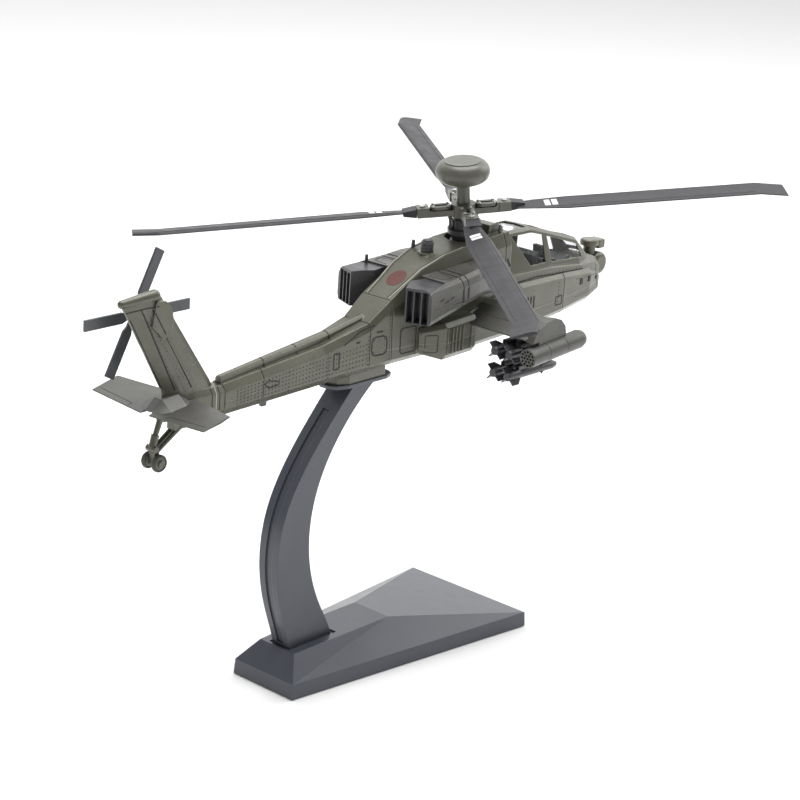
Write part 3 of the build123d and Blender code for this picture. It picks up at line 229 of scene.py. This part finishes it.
def from_side(tree, points, side, step=STEP):
    """Lays (x, z) points on the skin from the starboard (-1) or port (1) side."""
    inward = Vector((0, -side, 0))
    return [land(tree, place(p[0], side * OUTSIDE, p[1]), inward) for p in dotted(points, step)]


def from_above(tree, points, step=STEP):
    """Lays (x, y) points on the skin from above."""
    return [land(tree, place(p[0], p[1], OUTSIDE), DOWN) for p in dotted(points, step)]


def from_rotor_top(tree, azimuth, points):
    """Lays (radius, across) points on the rotor's skin from above, down the mast."""
    return [land(tree, on_rotor(radius, azimuth, ABOVE_ROTOR, across), -MAST) for radius, across in points]


def on_this_side(points, side):
    """Port (x, y) points as they are (1), or mirrored to starboard (-1)."""
    return [(x, side * y) for x, y in points]


def rounded(low_x, high_x, low_z, high_z, radius):
    """A closed outline with rounded corners."""
    outline = []
    for x, z, start in ((high_x, high_z, 0), (low_x, high_z, 90), (low_x, low_z, 180), (high_x, low_z, 270)):
        middle_x = x - radius if x == high_x else x + radius
        middle_z = z - radius if z == high_z else z + radius
        for angle in (start, start + 45, start + 90):
            outline.append((middle_x + radius * cos(radians(angle)), middle_z + radius * sin(radians(angle))))
    return outline + outline[:1]


# ---------------------------------------------------------------- detail pieces

def strip(work, spots, width, rise):
    """A thin closed strip of paint or metal that follows the landed spots."""
    spots = [spot for spot in spots if spot]
    if len(spots) < 2:
        return
    rings = []
    for i, (spot, normal) in enumerate(spots):
        ahead = spots[min(i + 1, len(spots) - 1)][0] - spots[max(i - 1, 0)][0]
        aside = ahead.cross(normal).normalized() * width * MM / 2
        up, down = normal * rise * MM, normal * -SINK * MM
        corners = (spot - aside + down, spot - aside + up, spot + aside + up, spot + aside + down)
        rings.append([work.verts.new(corner) for corner in corners])
    for low, high in zip(rings, rings[1:]):
        for i in range(4):
            j = (i + 1) % 4
            work.faces.new((low[i], low[j], high[j], high[i]))
    work.faces.new(reversed(rings[0]))
    work.faces.new(rings[-1])


def stud(work, spot, radius, rise, sides=8):
    """A low domed head on the skin."""
    if not spot:
        return
    centre, normal = spot
    aside = normal.orthogonal().normalized()
    other = normal.cross(aside)
    rings = []
    for share, height in ((1.0, -SINK), (1.0, rise * STUD_WALL), (STUD_CROWN, rise)):
        rings.append([work.verts.new(
            centre + (aside * cos(2 * pi * i / sides) + other * sin(2 * pi * i / sides)) * share * radius * MM
            + normal * height * MM) for i in range(sides)])
    for low, high in zip(rings, rings[1:]):
        for i in range(sides):
            j = (i + 1) % sides
            work.faces.new((low[i], low[j], high[j], high[i]))
    work.faces.new(reversed(rings[0]))
    work.faces.new(rings[-1])


def studs(work, spots, radius, rise, sides=8):
    """A stud at each landed spot."""
    for spot in spots:
        stud(work, spot, radius, rise, sides)


def disc(work, tree, centre, radius, rise, rings=7, sides=36):
    """A thin round patch draped over the skin from above."""
    turns = [2 * pi * i / sides for i in range(sides)]

    def corner(x, y, height):
        spot, normal = land(tree, place(x, y, OUTSIDE), DOWN)
        return work.verts.new(spot + normal * height * MM)

    layers = []
    for height in (rise, -SINK):
        rows = [[corner(*centre, height)]]
        for ring in range(1, rings + 1):
            reach = radius * ring / rings
            rows.append([corner(centre[0] + reach * cos(turn), centre[1] + reach * sin(turn), height)
                         for turn in turns])
        layers.append(rows)
    for rows, upper in ((layers[0], True), (layers[1], False)):
        for i in range(sides):
            j = (i + 1) % sides
            fan = (rows[0][0], rows[1][i], rows[1][j])
            work.faces.new(fan if upper else fan[::-1])
            for low, high in zip(rows[1:], rows[2:]):
                quad = (low[i], high[i], high[j], low[j])
                work.faces.new(quad if upper else quad[::-1])
    top_edge, low_edge = layers[0][-1], layers[1][-1]
    for i in range(sides):
        j = (i + 1) % sides
        work.faces.new((low_edge[i], low_edge[j], top_edge[j], top_edge[i]))


def piece(name, work, look, body):
    """Turns the work mesh into a piece that rides on a body."""
    bmesh.ops.recalc_face_normals(work, faces=work.faces)
    mesh = bpy.data.meshes.new(name)
    work.to_mesh(mesh)
    work.free()
    mesh.materials.append(look)
    made = bpy.data.objects.new(name, mesh)
    bpy.context.scene.collection.objects.link(made)
    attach(made, body)


# ---------------------------------------------------------------- materials

# Noise blobs of the moulded surfaces, in millimetres across.
DRIFT_SIZE, SPECK_SIZE, SPECK_PATCH, EDGE_PATCH, GLOSS_PATCH = 9.0, 0.8, 14.0, 3.0, 5.0
# How far the painted shade, with its dark wash, darkens joints and corners.
SHADE_AND_WASH_STRENGTH = 0.85
GRAIN_DEPTH = 0.05          # millimetres
COAT_ROUGHNESS = 0.25


class Look:
    """One procedural material: colour drift, edges lightened by wear and painted highlight, painted shade
    with a dark wash in the joints, and a fine grain.
    """

    def __init__(self, name):
        self.material = bpy.data.materials.new(name)
        self.material.use_nodes = True
        self.tree = self.material.node_tree
        self.shader = self.tree.nodes["Principled BSDF"]
        self.where = self.add("ShaderNodeTexCoord").outputs["Object"]

    def add(self, kind, inputs=None, **settings):
        node = self.tree.nodes.new(kind)
        for key, value in settings.items():
            setattr(node, key, value)
        for key, value in (inputs or {}).items():
            if isinstance(value, bpy.types.NodeSocket):
                self.tree.links.new(value, node.inputs[key])
            else:
                node.inputs[key].default_value = value
        return node

    def link(self, output, name):
        self.tree.links.new(output, self.shader.inputs[name])

    def set(self, **values):
        for key, value in values.items():
            self.shader.inputs[key.replace("_", " ")].default_value = value

    def noise(self, size, detail=4.0, stretch=None):
        """Noise whose blobs are about size millimetres across."""
        where = self.where
        if stretch:
            where = self.add("ShaderNodeMapping", {"Vector": where, "Scale": stretch}).outputs[0]
        settings = {"Vector": where, "Scale": 1.0 / (size * MM), "Detail": detail}
        return self.add("ShaderNodeTexNoise", settings).outputs[0]

    def ranged(self, value, low, high, to_low=0.0, to_high=1.0):
        """A value stretched from low..high to to_low..to_high, and held at its ends."""
        return self.add("ShaderNodeMapRange", {"Value": value, "From Min": low, "From Max": high,
                                               "To Min": to_low, "To Max": to_high}).outputs[0]

    def mix(self, factor, first, second):
        first, second = (value if isinstance(value, bpy.types.NodeSocket) else (*value, 1.0)
                         for value in (first, second))
        node = self.add("ShaderNodeMix", {0: factor, 6: first, 7: second}, data_type="RGBA")
        return node.outputs[2]

    def edges(self, radius):
        """How sharply the surface turns nearby, and the normal as if the edges were rounded."""
        bevel = self.add("ShaderNodeBevel", {"Radius": radius * MM}, samples=6).outputs[0]
        plain = self.add("ShaderNodeNewGeometry").outputs["Normal"]
        dot = self.add("ShaderNodeVectorMath", {0: bevel, 1: plain}, operation="DOT_PRODUCT").outputs["Value"]
        return self.ranged(dot, 0.99, 0.86), bevel

    def crevices(self, reach):
        """Where the surface is hidden in a joint or corner."""
        near = self.add("ShaderNodeAmbientOcclusion", {"Distance": reach * MM}, samples=8, only_local=True)
        return self.ranged(near.outputs["AO"], 0.75, 0.35)

    def both(self, first, second):
        """Where both factors hold: their product."""
        return self.add("ShaderNodeMath", {0: first, 1: second}, operation="MULTIPLY").outputs[0]


def moulded(name, base, drift, worn_and_highlit, shade_and_wash, rough, grain=0.35, bump=0.12, metallic=0.0, coat=0.0,
            rounding=0.25, wear_and_highlight=0.5, reach=0.9, streak=None, specks=0.35, specular=0.5, sheen=0.07):
    """A painted or moulded surface. Base and drift are its two main colours. The edge colour shows as wear on
    specks, and as wear with painted highlight on edges; the joint colour is painted shade, with a dark wash,
    in joints and corners. Grain, rounding and reach are millimetres."""
    look = Look(name)
    colour = look.mix(look.ranged(look.noise(DRIFT_SIZE, 5.0, streak), 0.35, 0.68), base, drift)
    speck = look.ranged(look.noise(SPECK_SIZE, 2.0), 0.62, 0.74)
    specked = look.ranged(look.noise(SPECK_PATCH), 0.4, 0.7, 0.0, specks)
    colour = look.mix(look.both(speck, specked), colour, worn_and_highlit)
    # Painted highlight, with wear: the edge colour is mixed in along sharp edges, in patches, so that the edges
    # look lit and rubbed.
    edge, soft = look.edges(rounding)
    patchy = look.ranged(look.noise(EDGE_PATCH), 0.3, 0.7, wear_and_highlight * 0.3, wear_and_highlight)
    colour = look.mix(look.both(edge, patchy), colour, worn_and_highlit)
    # Painted shade, with a dark wash: the joint colour is mixed in where the surface is hidden in joints and
    # corners.
    hidden = look.crevices(reach)
    colour = look.mix(look.ranged(hidden, 0.0, 1.0, 0.0, SHADE_AND_WASH_STRENGTH), colour, shade_and_wash)
    look.link(colour, "Base Color")
    gloss = look.noise(GLOSS_PATCH, 6.0)
    look.link(look.ranged(gloss, 0.3, 0.7, rough - sheen, rough + sheen), "Roughness")
    grains = look.add("ShaderNodeBump", {"Height": look.noise(grain, 3.0), "Normal": soft,
                                         "Strength": bump, "Distance": GRAIN_DEPTH * MM})
    look.link(grains.outputs[0], "Normal")
    look.set(Metallic=metallic, Coat_Weight=coat, Coat_Roughness=COAT_ROUGHNESS, Specular_IOR_Level=specular)
    return look.material


# The third olive is worn paint on specks, and wear with painted highlight on edges.
OLIVE, OLIVE_LIGHT, OLIVE_WORN_AND_HIGHLIT = (0.078, 0.0775, 0.054), (0.096, 0.0955, 0.067), (0.34, 0.34, 0.27)
GREY, GREY_LIGHT = (0.080, 0.078, 0.072), (0.098, 0.096, 0.088)
# The dark colour of painted shade, with a dark wash, in joints and corners.
SHADE_AND_WASH = (0.012, 0.012, 0.011)

paint = moulded("olive_paint", OLIVE, OLIVE_LIGHT, OLIVE_WORN_AND_HIGHLIT, SHADE_AND_WASH, 0.36, metallic=0.3, coat=0.45,
                streak=(0.5, 1.0, 1.6), rounding=0.6)
cowl_paint = moulded("cowl_paint", GREY, GREY_LIGHT, (0.34, 0.34, 0.31), SHADE_AND_WASH, 0.40, metallic=0.3, coat=0.3,
                     rounding=0.5)
store_paint = moulded("store_paint", (0.076, 0.075, 0.068), (0.090, 0.089, 0.081), (0.30, 0.30, 0.27), SHADE_AND_WASH,
                      0.42, metallic=0.15, coat=0.1)
hub_plastic = moulded("hub_plastic", (0.085, 0.084, 0.066), (0.112, 0.110, 0.088), (0.33, 0.33, 0.28), SHADE_AND_WASH,
                      0.36, coat=0.25, rounding=0.3)
dark_plastic = moulded("dark_plastic", (0.044, 0.044, 0.049), (0.058, 0.058, 0.064), (0.14, 0.14, 0.15),
                       (0.010, 0.010, 0.011), 0.38, coat=0.15)
blade_plastic = moulded("blade_plastic", (0.021, 0.020, 0.025), (0.027, 0.026, 0.032), (0.13, 0.13, 0.15),
                        (0.010, 0.010, 0.012), 0.44, wear_and_highlight=0.35, specular=0.4)
tail_blade_plastic = moulded("tail_blade_plastic", (0.050, 0.054, 0.060), (0.064, 0.068, 0.076),
                             (0.15, 0.16, 0.17), (0.01, 0.01, 0.012), 0.40, coat=0.2, wear_and_highlight=0.35)
stand_plastic = moulded("stand_plastic", (0.053, 0.058, 0.074), (0.057, 0.063, 0.079), (0.14, 0.15, 0.18),
                        (0.004, 0.004, 0.006), 0.30, grain=1.6, bump=0.03, coat=0.1, rounding=0.35, wear_and_highlight=0.3,
                        reach=1.6, specks=0.0, sheen=0.02)
trim_plastic = moulded("seat_plastic", (0.024, 0.024, 0.026), (0.034, 0.034, 0.037), (0.10, 0.10, 0.11), SHADE_AND_WASH,
                       0.5)
steel = moulded("plain_steel", (0.52, 0.52, 0.53), (0.60, 0.60, 0.60), (0.8, 0.8, 0.8), (0.05, 0.05, 0.05),
                0.28, metallic=1.0, streak=(4.0, 4.0, 0.5))
brass = moulded("plain_brass", (0.62, 0.46, 0.20), (0.70, 0.54, 0.26), (0.9, 0.8, 0.5), (0.08, 0.05, 0.02),
                0.3, metallic=1.0)
line_paint = moulded("line_wash_and_shade", (0.008, 0.008, 0.007), (0.014, 0.014, 0.012), (0.03, 0.03, 0.027), SHADE_AND_WASH,
                     0.6, wear_and_highlight=0.1)
# A light olive for strips of painted highlight along ridges and round the tail cone.
highlight_paint = moulded("highlight_olive", (0.30, 0.30, 0.245), (0.38, 0.38, 0.31), (0.5, 0.5, 0.42), OLIVE, 0.34,
                      metallic=0.3, coat=0.2)
rivet_paint = moulded("rivet_heads", (0.022, 0.022, 0.017), (0.032, 0.032, 0.025), (0.16, 0.16, 0.13), SHADE_AND_WASH,
                      0.42)
mark_paint = moulded("white_marks", (0.74, 0.74, 0.74), (0.82, 0.82, 0.82), (0.9, 0.9, 0.9), (0.3, 0.3, 0.3),
                     0.45)
patch_paint = moulded("rust_patch", (0.085, 0.014, 0.008), (0.11, 0.020, 0.011), (0.3, 0.15, 0.1),
                      (0.03, 0.01, 0.006), 0.45)

RIM_BLUR = 0.05             # half the width over which rubber gives way to paint


def wheel_look(name, centre, rim_radius, tyre, tyre_light, metal):
    """Rubber outside rim_radius of the axle and painted metal inside it."""
    look = Look(name)
    apart = look.add("ShaderNodeVectorMath", {0: look.where, 1: centre}, operation="SUBTRACT").outputs[0]
    flat = look.add("ShaderNodeVectorMath", {0: apart, 1: (1, 0, 1)}, operation="MULTIPLY").outputs[0]
    reach = look.add("ShaderNodeVectorMath", {0: flat}, operation="LENGTH").outputs["Value"]
    outer = look.ranged(reach, (rim_radius - RIM_BLUR) * MM, (rim_radius + RIM_BLUR) * MM)
    rubber = look.mix(look.noise(1.2), tyre, tyre_light)
    colour = look.mix(outer, look.mix(look.noise(2.0), metal, tuple(c * 1.25 for c in metal)), rubber)
    # Painted shade: the dark colour is mixed in where the wheel is hidden in joints and corners.
    hidden = look.crevices(0.8)
    look.link(look.mix(hidden, colour, SHADE_AND_WASH), "Base Color")
    look.link(look.ranged(outer, 0.0, 1.0, 0.38, 0.7), "Roughness")
    edge_soft = look.edges(0.2)[1]
    grains = look.add("ShaderNodeBump", {"Height": look.noise(0.25, 2.0), "Normal": edge_soft,
                                         "Strength": 0.2, "Distance": GRAIN_DEPTH * MM})
    look.link(grains.outputs[0], "Normal")
    return look.material


def clear_look():
    """Thin clear moulding with faint flow lines."""
    look = Look("clear_canopy")
    look.set(Transmission_Weight=1.0, IOR=1.2, Coat_Weight=0.3, Coat_Roughness=0.04)
    tint = look.ranged(look.noise(6.0), 0.3, 0.7)
    look.link(look.mix(tint, (0.93, 0.96, 0.95), (0.99, 1.0, 1.0)), "Base Color")
    look.link(look.ranged(look.noise(4.0), 0.3, 0.7, 0.0, 0.02), "Roughness")
    wave = look.add("ShaderNodeBump", {"Height": look.noise(5.0, 1.0, (1.0, 1.0, 0.3)), "Strength": 0.05,
                                       "Distance": 0.1 * MM})
    look.link(wave.outputs[0], "Normal")
    return look.material


def middle_of(name):
    low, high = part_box(name)
    return (low + high) / 2


SLOT_LOOKS = {
    "body_paint": paint, "hub_plastic": hub_plastic, "dark_plastic": dark_plastic,
    "blade_plastic": blade_plastic, "tyre_rubber": dark_plastic, "stand_plastic": stand_plastic,
    "steel": steel, "bearing_brass": brass, "clear_plastic": clear_look(),
}
NODE_LOOKS = {
    "engine_nacelle_left": cowl_paint, "engine_nacelle_right": cowl_paint,
    "rocket_pod_left": store_paint, "rocket_pod_right": store_paint,
    "stub_wing_left": store_paint, "stub_wing_right": store_paint, "stabilator": store_paint,
    "tail_blades_inner": tail_blade_plastic, "tail_blades_outer": tail_blade_plastic,
    "tail_rotor_hub": tail_blade_plastic, "pilot_seat": trim_plastic, "gunner_seat": trim_plastic,
    "cockpit_tub": trim_plastic,
}
MAIN_RIM, TAIL_RIM = 4.2, 2.0
for side_name in ("left", "right"):
    wheel = "main_wheel_" + side_name
    NODE_LOOKS[wheel] = wheel_look(wheel + "_look", middle_of(wheel), MAIN_RIM, (0.018, 0.018, 0.017),
                                   (0.03, 0.03, 0.028), (0.13, 0.13, 0.10))
NODE_LOOKS["tail_wheels"] = wheel_look("tail_wheels_look", middle_of("tail_wheels"), TAIL_RIM,
                                       (0.055, 0.055, 0.047), (0.075, 0.075, 0.065), (0.11, 0.11, 0.09))
for part in frame["record"]["subparts"]:
    look = NODE_LOOKS.get(part["node"], SLOT_LOOKS[part["material_slot"]])
    NODES[part["node"]].material_slots[0].material = look


# ---------------------------------------------------------------- details on the airframe

hull = skin("upper_body", "belly_pan")
fin = skin("tail_fin")
tailplane = skin("stabilator")

lines, rivets, painted_highlights, slots = (bmesh.new() for _ in range(4))
# Of these lines round the tail cone, the middle one is a light strip of painted highlight.
RING_LINES = (              # round the tail cone: x, mesh, width, rise
    (-117.2, lines, 0.34, 0.05),
    (-118.6, painted_highlights, 0.4, 0.08),
    (-120.2, lines, 0.34, 0.05),
)
for side in (-1, 1):
    for hatch in HATCHES:
        strip(lines, from_side(hull, rounded(*hatch), side), *HATCH_LINE)
        low_x, high_x, low_z, high_z, _ = hatch
        if high_x - low_x > STUDDED_WIDTH:
            inner = rounded(low_x + STUD_INSET, high_x - STUD_INSET, low_z + STUD_INSET, high_z - STUD_INSET,
                            STUD_CORNER)
            studs(rivets, from_side(hull, inner, side, STUD_SPACING), *HATCH_STUD)
    for x, z, wide, tall in SLOTS:
        upright, level = ((x, z - tall / 2), (x, z + tall / 2)), ((x - wide / 2, z), (x + wide / 2, z))
        middle_line = upright if tall > wide else level
        strip(slots, from_side(hull, middle_line, side, SHORT_STEP), min(wide, tall), SLOT_RISE)
    for points in SIDE_LINES:
        strip(lines, from_side(hull, points, side), *PANEL_LINE)
    for x, high, low in SIDE_SEAMS:
        strip(lines, from_side(hull, ((x, high), (x, low)), side, SHORT_STEP), *SEAM_LINE)
    for start, end, spacing in RIVET_ROWS:
        studs(rivets, from_side(hull, (start, end), side, spacing), *HULL_STUD)
    for points in FIN_LINES:
        strip(lines, from_side(fin, points, side), *PANEL_LINE)
    for start, end, spacing in FIN_RIVETS:
        studs(rivets, from_side(fin, (start, end), side, spacing), *FIN_STUD)
    for points in TAILPLANE_LINES:
        strip(lines, from_above(tailplane, on_this_side(points, side)), *TAILPLANE_LINE)
    # A light strip of painted highlight along each ridge, and a dark line of painted shade inboard of it.
    strip(painted_highlights, from_above(hull, on_this_side(RIDGE, side)), *RIDGE_STRIP)
    strip(lines, from_above(hull, on_this_side([(x, y - RIDGE_SHADE) for x, y in RIDGE], side)), *FINE_LINE)
    strip(slots, from_side(hull, SLOPING_VENT, side), *VENT_STRIP)

for x in TUNNEL_JOINTS:
    strip(lines, from_above(hull, ((x, -TUNNEL_HALF), (x, TUNNEL_HALF)), TUNNEL_STEP), *TUNNEL_LINE)
for side in (-1, 1):
    for x, ring_mesh, wide, rise in RING_LINES:
        strip(ring_mesh, from_side(fin, ((x, RING_HIGH), (x, RING_LOW)), side, RING_STEP), wide, rise)

piece("panel_lines", lines, line_paint, "airframe")
piece("rivet_heads", rivets, rivet_paint, "airframe")
# Light strips of painted highlight.
piece("highlight_strips", painted_highlights, highlight_paint, "airframe")
# Dark strips of painted shade where the openings and the vent stand.
piece("dark_slots", slots, line_paint, "airframe")

patch = bmesh.new()
disc(patch, hull, PATCH_PLACE, PATCH_RADIUS, PATCH_RISE)
piece("plain_round_patch", patch, patch_paint, "airframe")

cowl_lines, cowl_rivets = bmesh.new(), bmesh.new()
for side, name in ((-1, "engine_nacelle_right"), (1, "engine_nacelle_left")):
    cowl = skin(name)
    strip(cowl_lines, from_above(cowl, on_this_side(COWL_FLAP, side)), *FLAP_LINE)
    for x in COWL_BANDS:
        above = on_this_side([(x, y) for y in BAND_ABOVE], side)
        beside = [(x, z) for z in BAND_BESIDE]
        strip(cowl_lines, from_above(cowl, above, BAND_STEP), *BAND_STRIP)
        strip(cowl_lines, from_side(cowl, beside, side, BAND_STEP), *BAND_STRIP)
    for start, end, spacing in COWL_TOP_RIVETS:
        studs(cowl_rivets, from_above(cowl, on_this_side((start, end), side), spacing), *COWL_TOP_STUD)
    for x, z in COWL_VENTS:
        vent = ((x - VENT_HALF, z - VENT_FALL), (x + VENT_HALF, z + VENT_RISE))
        strip(cowl_lines, from_side(cowl, vent, side, VENT_STEP), *COWL_VENT_STRIP)
    studs(cowl_rivets, from_side(cowl, COWL_SIDE_RIVETS, side, COWL_SIDE_SPACING), *COWL_SIDE_STUD)
piece("cowl_lines", cowl_lines, line_paint, "airframe")
piece("cowl_rivets", cowl_rivets, rivet_paint, "airframe")

ribs, grooves = bmesh.new(), bmesh.new()
for side in (-1, 1):
    for x in RIB_X:
        groove_x = x + GROOVE_AHEAD
        strip(ribs, from_side(hull, ((x, RIB_LOW), (x, RIB_HIGH)), side), *RIB_STRIP)
        strip(grooves, from_side(hull, ((groove_x, RIB_LOW), (groove_x, RIB_HIGH)), side), *RIB_GROOVE)
    strip(grooves, from_side(hull, rounded(*BAY_PANEL), side), *BAY_LINE)
piece("fairing_ribs", ribs, paint, "airframe")
piece("fairing_grooves", grooves, line_paint, "airframe")


# ---------------------------------------------------------------- details on the rotor

for number, azimuth in enumerate(BLADE_AZIMUTHS, 1):
    blade = skin("main_blade_%d" % number)
    marks, seams = bmesh.new(), bmesh.new()
    for radius in MARK_RADII:
        points = [(radius, across) for across in MARK_ACROSS]
        strip(marks, from_rotor_top(blade, azimuth, points), *MARK_STRIP)
    for low_radius, high_radius, across, seam_line in BLADE_SEAMS:
        points = dotted(((low_radius, across), (high_radius, across)), SEAM_STEP)
        strip(seams, from_rotor_top(blade, azimuth, points), *seam_line)
    piece("blade_marks_%d" % number, marks, mark_paint, "main_rotor")
    piece("blade_seams_%d" % number, seams, line_paint, "main_rotor")

hub_skin = skin("rotor_hub")
bolts = bmesh.new()
for azimuth in ARM_AZIMUTHS:
    for radius in BOLT_RADII:
        points = [(radius, across) for across in BOLT_ACROSS]
        studs(bolts, from_rotor_top(hub_skin, azimuth, points), *BOLT_HEAD, BOLT_SIDES)
piece("hub_bolts", bolts, steel, "main_rotor")


# ---------------------------------------------------------------- camera, light and floor

def make_camera():
    data = bpy.data.cameras.new("camera")
    data.lens, data.sensor_width = LENS, SENSOR
    camera = bpy.data.objects.new("camera", data)
    turn = Matrix((CAMERA_RIGHT, CAMERA_UP, CAMERA_BACK)).transposed().to_4x4()
    camera.matrix_world = Matrix.Translation(CAMERA_PLACE) @ turn
    bpy.context.scene.collection.objects.link(camera)
    bpy.context.scene.camera = camera


def area_light(name, where, aim, size, power):
    data = bpy.data.lights.new(name, "AREA")
    data.shape, data.size, data.energy = "DISK", size, power
    light = bpy.data.objects.new(name, data)
    light.location = where
    light.rotation_mode = "QUATERNION"
    light.rotation_quaternion = (Vector(aim) - Vector(where)).to_track_quat("-Z", "Y")
    bpy.context.scene.collection.objects.link(light)


def studio_world():
    """Soft light that is brightest from the white wall ahead of the model's nose."""
    world = bpy.data.worlds.new("studio")
    bpy.context.scene.world = world
    world.use_nodes = True
    tree = world.node_tree
    direction = tree.nodes.new("ShaderNodeTexCoord").outputs["Generated"]
    facing = tree.nodes.new("ShaderNodeVectorMath")
    facing.operation = "DOT_PRODUCT"
    facing.inputs[1].default_value = WALL_SIDE
    strength = tree.nodes.new("ShaderNodeMapRange")
    strength.interpolation_type = "SMOOTHSTEP"
    spread = {"From Min": 0.0, "From Max": WALL_EDGE, "To Min": WALL_DIM, "To Max": WALL_BRIGHT}
    for name, value in spread.items():
        strength.inputs[name].default_value = value
    background = tree.nodes["Background"]
    background.inputs["Color"].default_value = (1, 1, 1, 1)
    tree.links.new(direction, facing.inputs[0])
    tree.links.new(facing.outputs["Value"], strength.inputs["Value"])
    tree.links.new(strength.outputs[0], background.inputs["Strength"])


def floor_look():
    """Pale paper with a faint tooth."""
    look = Look("pale_floor")
    look.link(look.mix(look.noise(40.0), (0.93, 0.93, 0.93), (0.95, 0.95, 0.95)), "Base Color")
    look.set(Roughness=0.9)
    return look.material


def lay_floor():
    mesh = bpy.data.meshes.new("floor")
    reach, depth = FLOOR_REACH, -FLOOR_DROP
    corners = [(-reach, -reach, depth), (reach, -reach, depth), (reach, reach, depth), (-reach, reach, depth)]
    mesh.from_pydata(corners, [], [(0, 1, 2, 3)])
    mesh.materials.append(floor_look())
    floor = bpy.data.objects.new("floor", mesh)
    bpy.context.scene.collection.objects.link(floor)


make_camera()
for light_row in LIGHTS:
    area_light(*light_row)
studio_world()
bpy.context.scene.view_settings.view_transform = "Standard"
lay_floor()
